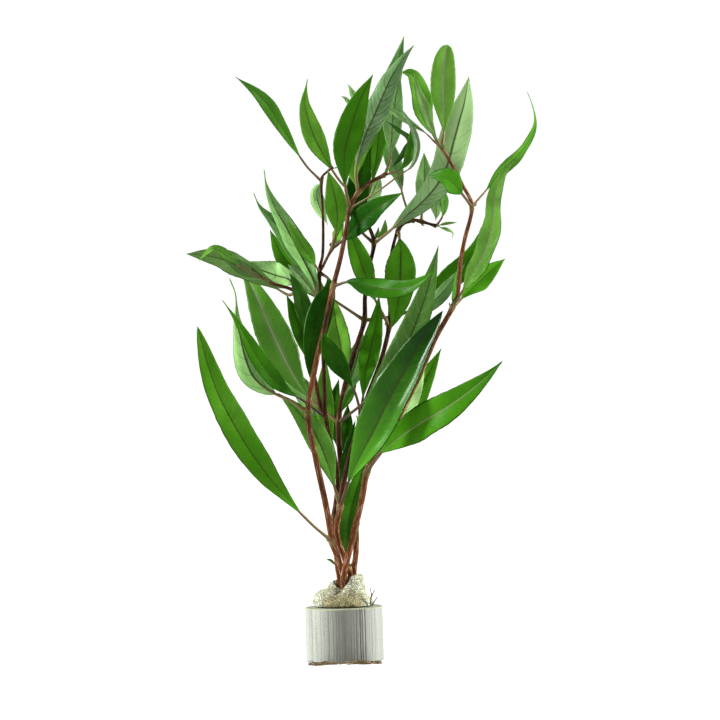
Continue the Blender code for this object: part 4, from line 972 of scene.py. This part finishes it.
def make_plug(foam):
    """Make the foam plug, torn and granular, pressed round the stems."""
    build = Build()
    grid = []
    for k in range(PLUG_STEPS):
        turn = 2 * math.pi * k / PLUG_STEPS
        lobe = math.sin(2 * turn + 0.7) + 0.6 * math.sin(5 * turn + 1.9)
        off = (math.degrees(turn) - PLUG_DIP_ANGLE + 180) % 360 - 180
        dip = PLUG_DIP * bell(off, PLUG_DIP_WIDTH)
        right = 0.5 + 0.5 * math.cos(turn)
        knots = []
        for left_radius, left_height, right_radius, right_height, loose in PLUG:
            reach = left_radius + (right_radius - left_radius) * right + PLUG_LOBES * loose * lobe
            rise = left_height + (right_height - left_height) * right
            if reach > PLUG_CORE:
                rise -= dip * loose
            knots.append(Vector((reach * math.cos(turn), reach * math.sin(turn), rise)))
        column = []
        for i, spot in enumerate(curve(knots, PLUG_ROWS)):
            outside = smooth(RING_HEIGHT + 0.2, RING_HEIGHT + 1.6, spot.z)
            spot += foam_shift(spot) * outside * min(1.0, (PLUG_ROWS - i) / 12)
            crown = (spot.z - PLUG_RIM) / PLUG_CROWN
            column.append(build.vertex(spot * MM, (turn, i / PLUG_ROWS), crown))
        grid.append(column)
    for here, there in zip(grid, grid[1:] + grid[:1]):
        for i in range(PLUG_ROWS):
            build.face((here[i], there[i], there[i + 1], here[i + 1]))
    piece = add_piece("foam_plug_body", build.mesh("foam_plug_body", [foam]),
                      ["foam_plug"])


def foam_shift(spot):
    """Return how far a place on the foam is moved, in millimetres."""
    lump = noise.noise_vector(spot * 0.28) * 0.8
    clod = noise.noise_vector(spot * 0.9) * 0.12
    grain = noise.noise_vector(spot * 3.4) * 0.2
    return lump + clod + grain


def make_roots(bark):
    """Make the main roots, which lie on the surface, and the hair roots by them."""
    dice = random.Random(ROOT_SEED)
    for name, table in ROOTS.items():
        build = Build()
        main_root = even_points([Vector(point) * MM for point in table], ROOT_STEPS)
        shares = [i / (ROOT_STEPS - 1) for i in range(ROOT_STEPS)]
        add_tube(build, main_root, [ROOT_RADIUS * MM * (1.05 - 0.6 * at) for at in shares], 8)
        inward = 0.0 if main_root[-1].x < 0 else math.pi
        for k in range(HAIR_ROOTS):
            heading = inward if dice.random() < 0.7 else math.pi - inward
            heading += dice.uniform(-0.7, 0.7)
            start = main_root[dice.randrange(30, 56)]
            add_hair(build, dice, start, heading, HAIR_SHORT if k % 3 else HAIR_LONG)
        add_piece(name + "_strands", build.mesh(name, [bark]), [name])
    build = Build()
    shares = [i / (RIM_ROOT_STEPS - 1) for i in range(RIM_ROOT_STEPS)]
    radii = [RIM_ROOT_RADIUS * MM * (1.1 - 0.45 * at) for at in shares]
    for table in RIM_ROOTS:
        path = even_points([place(point) for point in table], RIM_ROOT_STEPS)
        add_tube(build, path, radii, 6)
    add_piece("rim_roots", build.mesh("rim_roots", [bark]))


def add_hair(build, dice, start, heading, kind):
    """Add one hair root that wanders over the surface and over the others."""
    steps, radii = kind
    spot = start.copy()
    path = [spot.copy()]
    rise = 0.0
    top = dice.uniform(0.3, HAIR_TOP) * MM
    for _ in range(dice.randrange(*steps)):
        heading += dice.uniform(-0.5, 0.5)
        rise = rise * 0.6 + dice.uniform(-0.25, 0.25)
        step = dice.uniform(0.5, 0.95) * MM
        spot += Vector((math.cos(heading), math.sin(heading), 0)) * step
        spot.z = min(max(HAIR_FLOOR * MM, spot.z + rise * MM), top)
        outside = spot.y < HAIR_FRONT * MM or abs(spot.x) > HAIR_SIDE * MM
        if outside or spot.xy.length < HAIR_CLEAR * MM:
            break
        path.append(spot.copy())
    if len(path) > 2:
        path = even_points(path, 3 * len(path))
        thick = dice.uniform(*radii) * MM
        add_tube(build, path, [thick * (1.1 - 0.7 * i / len(path)) for i in range(len(path))], 5)


# Materials


class Nodes:
    """Builds a node tree."""

    def __init__(self, tree):
        self.tree = tree

    def put(self, socket, value):
        """Link a socket to another one, or set its value."""
        if isinstance(value, bpy.types.NodeSocket):
            self.tree.links.new(value, socket)
        elif isinstance(value, tuple) and len(value) == 3 and len(socket.default_value) == 4:
            socket.default_value = (*value, 1.0)
        else:
            socket.default_value = value

    def node(self, kind, sockets=(), **settings):
        """Add a node with its settings, and fill its sockets, given by name or number."""
        node = self.tree.nodes.new("ShaderNode" + kind)
        for name, value in settings.items():
            setattr(node, name, value)
        for socket, value in dict(sockets).items():
            self.put(node.inputs[socket], value)
        return node

    def math(self, operation, a, b=0.0, c=0.0):
        return self.node("Math", {0: a, 1: b, 2: c}, operation=operation).outputs[0]

    def times(self, a, b):
        return self.math("MULTIPLY", a, b)

    def plus(self, value, factor, base):
        """Return base with factor times value added."""
        return self.math("MULTIPLY_ADD", value, factor, base)

    def centred(self, value, factor, base):
        """Return base with factor times value added, where a value of 0.5 adds nothing."""
        return self.plus(self.math("SUBTRACT", value, 0.5), factor, base)

    def step(self, value, low, high, start=0.0, end=1.0):
        """Return a soft step from start to end as value goes from low to high."""
        sockets = {0: value, 1: low, 2: high, 3: start, 4: end}
        return self.node("MapRange", sockets, interpolation_type="SMOOTHSTEP").outputs[0]

    def mix(self, share, a, b):
        """Return a blend of two colours, whose sockets on the node are 6, 7 and 2."""
        return self.node("Mix", {0: share, 6: a, 7: b}, data_type="RGBA").outputs[2]

    def value(self, name):
        return self.node("Attribute", attribute_name=name).outputs["Fac"]

    def coordinates(self, kind="Object", scale=(1, 1, 1)):
        source = self.node("TexCoord").outputs[kind]
        return self.node("Mapping", {"Scale": scale, "Vector": source}).outputs[0]

    def split(self, vector):
        return self.node("SeparateXYZ", {0: vector}).outputs

    def noise(self, vector, scale, detail=3.0, rough=0.55):
        sockets = {"Vector": vector, "Scale": scale, "Detail": detail, "Roughness": rough}
        return self.node("TexNoise", sockets).outputs[0]

    def cells(self, vector, scale, feature="F1"):
        sockets = {"Vector": vector, "Scale": scale}
        return self.node("TexVoronoi", sockets, feature=feature).outputs["Distance"]


class Shader(Nodes):
    """Builds the node tree of one material."""

    def __init__(self, name):
        self.material = bpy.data.materials.new(name)
        self.material.use_nodes = True
        super().__init__(self.material.node_tree)
        self.main = self.tree.nodes["Principled BSDF"]

    def bump(self, height, strength, distance):
        sockets = {"Strength": strength, "Distance": distance, "Height": height}
        self.put(self.main.inputs["Normal"], self.node("Bump", sockets).outputs[0])

    def finish(self, colour, roughness, **others):
        self.put(self.main.inputs["Base Color"], colour)
        self.put(self.main.inputs["Roughness"], roughness)
        for name, value in others.items():
            self.main.inputs[name.replace("_", " ")].default_value = value
        return self.material


def vein_pattern(s):
    """Return the distance from the midrib, the side veins and the net between them."""
    u, v, _ = s.split(s.coordinates("UV"))
    aside = s.math("ABSOLUTE", s.plus(u, 2.0, -1.0))
    bend = s.times(s.math("POWER", aside, 1.5), -1.15)
    sway = s.noise(s.coordinates(), 160.0, 1.0)
    wobble = s.plus(sway, 0.5, bend)
    phase = s.math("FRACT", s.math("ADD", v, wobble))
    ridge = s.math("ABSOLUTE", s.plus(phase, 2.0, -1.0))
    fade = s.step(aside, 0.75, 1.0, 1.0, 0.15)
    veins = s.times(s.step(ridge, 0.84, 0.98), fade)
    net_place = s.coordinates("UV", (5.0, 3.2, 1.0))
    net = s.step(s.cells(net_place, 2.6, "DISTANCE_TO_EDGE"), 0.0, 0.10, 1.0, 0.0)
    return aside, veins, net, ridge


def leaf_tone(s, patches, mottle, mottled):
    """Return a leaf's tone, which runs along it and is uneven in patches and fine mottling."""
    # The run from foot to tip is in part painted shade along the leaf
    tone = s.centred(s.value("along"), s.value("run"), s.value("tone"))
    tone = s.centred(patches, 0.34, tone)
    return s.centred(mottle, mottled, tone)


def upper_side(name, gloss):
    """Glossy green upper side of a leaf, with a fine midrib and faint side veins."""
    s = Shader(name)
    aside, veins, net, ridge = vein_pattern(s)
    place_in = s.coordinates()
    patches = s.noise(place_in, 75.0)
    mottle = s.noise(place_in, 420.0, rough=0.6)
    tone = leaf_tone(s, patches, mottle, 0.12)
    tone = s.plus(veins, 0.07, tone)
    tone = s.plus(net, 0.03, tone)
    tone = s.plus(ridge, -0.03, tone)
    dark = s.mix(s.step(tone, -0.15, 0.5), UPPER_DARK, UPPER_GREEN)
    green = s.mix(s.step(tone, 0.4, 1.1), dark, UPPER_BRIGHT)
    tinted = s.mix(s.times(s.value("tint"), 0.6), green, UPPER_TINT)
    lace = s.math("MAXIMUM", veins, s.times(net, 0.7))
    lace = s.times(lace, s.step(s.value("tint"), 0.1, 0.4, 0.0, 0.4))
    laced = s.mix(lace, tinted, UPPER_LACE)
    pale = s.times(s.step(s.value("rib"), 0.3, 1.0), s.step(aside, 0.0, 0.35, 0.25, 0.0))
    washed = s.mix(pale, laced, UPPER_WASH)
    line = s.mix(s.value("rib"), RIB_DARK, RIB_PALE)
    rib = s.step(aside, 0.03, 0.075, 0.75, 0.0)
    ribbed = s.mix(rib, washed, line)
    edge = s.times(s.step(aside, 0.88, 0.98), 0.75)
    colour = s.mix(edge, ribbed, UPPER_EDGE)
    rough = s.plus(patches, 0.24, 0.16)
    height = s.plus(veins, -0.7, s.times(ridge, -0.15))
    height = s.plus(rib, -1.0, height)
    height = s.plus(mottle, 0.3, height)
    s.bump(height, 0.3, LEAF_RELIEF)
    return s.finish(colour, rough, Specular_IOR_Level=gloss, IOR=LEAF_IOR)


def under_side():
    """Pale satin underside of a leaf, with raised veins."""
    s = Shader("leaf_under")
    aside, veins, net, ridge = vein_pattern(s)
    place_in = s.coordinates()
    patches = s.noise(place_in, 90.0)
    mottle = s.noise(place_in, 420.0, rough=0.6)
    tone = leaf_tone(s, patches, mottle, 0.14)
    tone = s.plus(veins, -0.20, tone)
    tone = s.plus(net, -0.09, tone)
    ribs = s.math("FRACT", s.times(ridge, 1.5))
    ribs = s.times(s.step(ribs, 0.55, 0.85), s.step(mottle, 0.35, 0.6, 0.35, 1.0))
    ribs = s.times(ribs, s.step(s.value("along"), 0.45, 0.75, 1.0, 0.25))
    stripes = s.times(s.step(s.value("tint"), 0.3, 0.6), ribs)
    dull = s.mix(s.step(tone, -0.15, 0.55), UNDER_DARK, UNDER_GREEN)
    sage = s.mix(s.step(tone, 0.4, 1.05), dull, UNDER_SAGE)
    tinted = s.mix(s.times(s.value("tint"), 0.6), sage, UNDER_TINT)
    striped = s.mix(s.times(stripes, 0.55), tinted, UNDER_STRIPE)
    rib = s.step(aside, 0.04, 0.10, 0.7, 0.0)
    ribbed = s.mix(rib, striped, s.mix(s.value("rib"), RIB_DARK, RIB_PALE))
    edge = s.times(s.step(aside, 0.86, 0.98), 0.75)
    colour = s.mix(edge, ribbed, UNDER_EDGE)
    height = s.plus(veins, 0.9, s.times(net, 0.3))
    height = s.plus(mottle, 0.3, height)
    s.bump(height, 0.4, LEAF_RELIEF)
    rough = s.plus(patches, 0.3, 0.22)
    return s.finish(colour, rough, Specular_IOR_Level=0.05, IOR=LEAF_IOR)


def midrib_skin():
    """Petiole and midrib: olive brown, redder by the stem and greener along the blade."""
    s = Shader("leaf_midrib")
    streaks = s.noise(s.coordinates(), 420.0, 2.0)
    on_blade = s.step(s.value("along"), 0.0, 0.25)
    stalk = s.mix(s.value("stalk"), STALK_DARK, STALK_OLIVE)
    redness = s.times(s.step(streaks, 0.35, 0.75, 0.0, 0.6),
                      s.step(s.value("stalk"), 0.0, 0.3, 0.25, 1.0))
    red = s.mix(redness, stalk, STALK_RED)
    line = s.mix(s.value("rib"), RIB_DARK, RIB_PALE)
    colour = s.mix(on_blade, red, line)
    s.bump(streaks, 0.3, LEAF_RELIEF)
    return s.finish(colour, 0.42, Specular_IOR_Level=0.12)


def stem_skin():
    """Red-brown stem with darker streaks, a painted pinkish highlight in thin lines along it, and
    pale node rings.
    """
    s = Shader("stem_skin")
    streaks = s.noise(s.coordinates("UV", (9.0, 0.9, 1.0)), 2.2, 4.0, 0.6)
    blotches = s.noise(s.coordinates(), 90.0)
    fine = s.noise(s.coordinates("UV", (16.0, 1.2, 1.0)), 6.0, rough=0.7)
    height = s.split(s.coordinates())[2]
    low = s.step(height, 0.04, 0.075, 0.85, 0.0)
    tone = s.math("MAXIMUM", s.value("tone"), low)
    tone = s.centred(blotches, 1.5, tone)
    brown = s.mix(s.step(tone, 0.0, 1.0), STEM_DARK, STEM_BROWN)
    # Painted highlight: thin pinkish lines of light along the stem, more where the bark is lighter
    highlight_strips = s.times(s.step(streaks, 0.55, 0.63), s.step(tone, 0.1, 1.0, 0.12, 0.9))
    highlight_striped = s.mix(highlight_strips, brown, STEM_HIGHLIGHT_PINK)
    shaded = s.mix(s.times(s.step(fine, 0.5, 0.75), 0.55), highlight_striped, STEM_DARK)
    node = s.times(s.step(s.value("along"), 0.45, 0.98), 0.6)
    scar = s.mix(s.step(tone, 0.1, 0.8), SCAR_DARK, SCAR_PALE)
    colour = s.mix(node, shaded, scar)
    s.bump(s.math("ADD", fine, streaks), 0.6, BARK_RELIEF)
    return s.finish(colour, s.plus(streaks, 0.25, 0.18), Specular_IOR_Level=0.02)


def foam_skin():
    """Cream open-cell foam, white grains over olive, with painted shade low on the crown by the
    ring's rim and in its pores.
    """
    s = Shader("foam_cream")
    place_in = s.coordinates()
    cells = s.cells(place_in, 2300.0)
    crumbs = s.noise(place_in, 2100.0, rough=0.7)
    stains = s.noise(place_in, 170.0, rough=0.6)
    # Painted shade: the foam and its grains are darker low on the crown by the ring's rim, near
    # the middle, made uneven by noise
    aside = s.math("ABSOLUTE", s.times(s.split(place_in)[0], 100.0))
    dull = s.times(s.step(s.value("along"), 0.1, 0.75, 1.0, 0.15),
                   s.step(aside, 0.5, 1.05, 1.0, 0.0))
    dull = s.centred(stains, 0.35, dull)
    body = s.mix(s.step(dull, 0.0, 1.0), FOAM_BODY, FOAM_SHADE)
    light = s.mix(s.step(dull, 0.1, 1.1), FOAM_GRAIN, FOAM_GRAIN_SHADED)
    colour = s.mix(s.step(crumbs, 0.47, 0.60), body, light)
    # Painted shade in the pores: darker towards the middle of each foam cell, where the bump sinks
    pore_shaded = s.mix(s.times(s.step(cells, 0.0, 0.35, 1.0, 0.0), 0.4), colour, FOAM_PORE_SHADE)
    s.bump(s.math("ADD", cells, crumbs), 0.8, FOAM_RELIEF)
    return s.finish(pore_shaded, 0.95, Specular_IOR_Level=0.1)


def clay_skin():
    """Matte grey-green ceramic with scored lines, dark specks, painted shade down the middle of
    its front and a painted lime-tinged highlight along the lip.
    """
    s = Shader("ring_clay")
    upright = s.coordinates(scale=(1.0, 1.0, 0.03))
    lines = s.noise(upright, 1300.0, rough=0.7)
    bands = s.noise(upright, 240.0, 2.0)
    grains = s.noise(s.coordinates(), 2300.0, 4.0, 0.75)
    specks = s.step(s.cells(s.coordinates(), 420.0), 0.03, 0.10, 1.0, 0.0)
    base = s.mix(s.step(bands, 0.3, 0.7), CLAY_DARK, CLAY_LIGHT)
    lined = s.mix(s.times(s.step(lines, 0.50, 0.70), 0.5), base, CLAY_LINE)
    dust_and_front_shade = s.mix(s.step(grains, 0.40, 0.66, 0.0, 0.7), lined, CLAY_DUST)
    # Painted shade: a darker band down the middle of the ring's front, mixed over the dust
    across = s.plus(s.split(s.coordinates())[0], 1000.0, -2.2)
    front_shade = s.step(s.math("ABSOLUTE", across), 2.0, 12.0, 1.0, 0.0)
    front_shade = s.times(front_shade, s.step(s.split(s.coordinates())[1], -0.002, -0.01))
    dust_and_front_shade = s.mix(s.times(front_shade, 0.5), dust_and_front_shade, CLAY_FRONT_SHADE)
    depth = s.split(s.coordinates("UV"))[1]
    scored = s.mix(s.step(depth, 0.10, 0.5, 0.0, 0.75), dust_and_front_shade, CLAY_LINE)
    # Painted highlight: a thin lime-tinged line of light along the rounded top edge of the ring
    lip = s.times(s.step(s.value("along"), 0.972, 0.988),
                  s.step(s.value("along"), 0.994, 0.9995, 1.0, 0.25))
    lip_highlighted = s.mix(s.times(lip, 0.55), scored, CLAY_LIP_HIGHLIGHT)
    colour = s.mix(s.times(specks, 0.75), lip_highlighted, CLAY_SPECK)
    s.bump(s.plus(lines, 1.4, grains), 0.5, CLAY_RELIEF)
    return s.finish(colour, 0.8, Specular_IOR_Level=0.2)


def root_skin():
    """Brown roots, streaked with a paler brown."""
    s = Shader("root_skin")
    streaks = s.noise(s.coordinates(), 500.0, rough=0.6)
    colour = s.mix(s.step(streaks, 0.3, 0.7), ROOT_DARK, ROOT_PALE)
    s.bump(streaks, 0.5, ROOT_RELIEF)
    return s.finish(colour, 0.8)


# Stage


def make_floor():
    """Make the pale floor that the plant stands on."""
    floor = Build()
    corners = [(-1, -1), (1, -1), (1, 1), (-1, 1)]
    floor.face(tuple(floor.vertex(Vector((x, y, 0)) * FLOOR_HALF, (0, 0)) for x, y in corners))
    s = Shader("floor_pale")
    fibres = s.noise(s.coordinates(), 900.0)
    paper = s.finish(s.mix(fibres, FLOOR_DARK, FLOOR_LIGHT), 1.0, Specular_IOR_Level=0.0,
                     Emission_Color=WHITE, Emission_Strength=FLOOR_GLOW)
    stage = show(bpy.data.objects.new("floor", floor.mesh("floor", [paper])))
    stage.location.z = -FLOOR_DROP


def make_world():
    """Make the studio round the plant, brighter behind it."""
    world = bpy.data.worlds.new("studio")
    world.use_nodes = True
    studio = Nodes(world.node_tree)
    direction = studio.split(studio.node("TexCoord").outputs["Generated"])
    shine = studio.step(direction[1], *WORLD_FADE, WORLD_FRONT, WORLD_BACK)
    background = studio.tree.nodes["Background"]
    background.inputs["Color"].default_value = WHITE
    studio.put(background.inputs["Strength"], shine)
    bpy.context.scene.world = world
    bpy.context.scene.view_settings.view_transform = "Standard"


def make_lights(middle):
    """Make the soft lights that face the plant's middle."""
    for name, azimuth, height, distance, size, power in LIGHTS:
        lamp = bpy.data.lights.new(name, "AREA")
        lamp.size = size
        lamp.energy = power
        holder = show(bpy.data.objects.new(name, lamp))
        turn = math.radians(azimuth)
        way = Vector((math.sin(turn), -math.cos(turn), math.tan(math.radians(height))))
        holder.location = middle + way.normalized() * distance
        holder.rotation_euler = (-way).to_track_quat("-Z", "Y").to_euler()


def make_camera(middle):
    """Make the camera, a little above the plant's middle and rolled as in the photo."""
    camera = bpy.data.cameras.new("camera")
    camera.lens = CAMERA_LENS
    camera.sensor_width = CAMERA_SENSOR
    camera.clip_end = CAMERA_REACH
    holder = show(bpy.data.objects.new("camera", camera))
    dip = math.radians(CAMERA_ELEVATION)
    away = Vector((0.0, -math.cos(dip), math.sin(dip)))
    look = (-away).to_track_quat("-Z", "Y").to_matrix().to_4x4()
    roll = Matrix.Rotation(math.radians(-CAMERA_ROLL), 4, "Z")
    holder.matrix_world = Matrix.Translation(middle + away * CAMERA_DISTANCE) @ look @ roll
    bpy.context.scene.camera = holder


def main():
    """Make the whole plant, then the stage."""
    bark = stem_skin()
    nodes = {}
    for name, (foot, top, table) in STEMS.items():
        nodes.update(make_stem(name, foot, top, table, bark))
    leaf_skins = [upper_side("leaf_upper", UPPER_GLOSS), under_side(), midrib_skin()]
    wet_skins = [upper_side("leaf_upper_wet", WET_GLOSS)] + leaf_skins[1:]
    noise.seed_set(LEAF_SEED)
    make_leaves(nodes, leaf_skins, wet_skins)
    make_buds(nodes, leaf_skins)
    make_ring(clay_skin())
    make_plug(foam_skin())
    make_roots(root_skin())
    make_floor()
    make_world()
    middle = RING_AXIS + Vector(CAMERA_AIM) * MM
    make_lights(middle)
    make_camera(middle)


for old in list(bpy.data.objects):
    bpy.data.objects.remove(old)
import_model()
low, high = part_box("ring")
RING_AXIS = Vector(((low[0] + high[0]) / 2, (low[1] + high[1]) / 2, 0.0))
main()
bpy.context.view_layer.update()
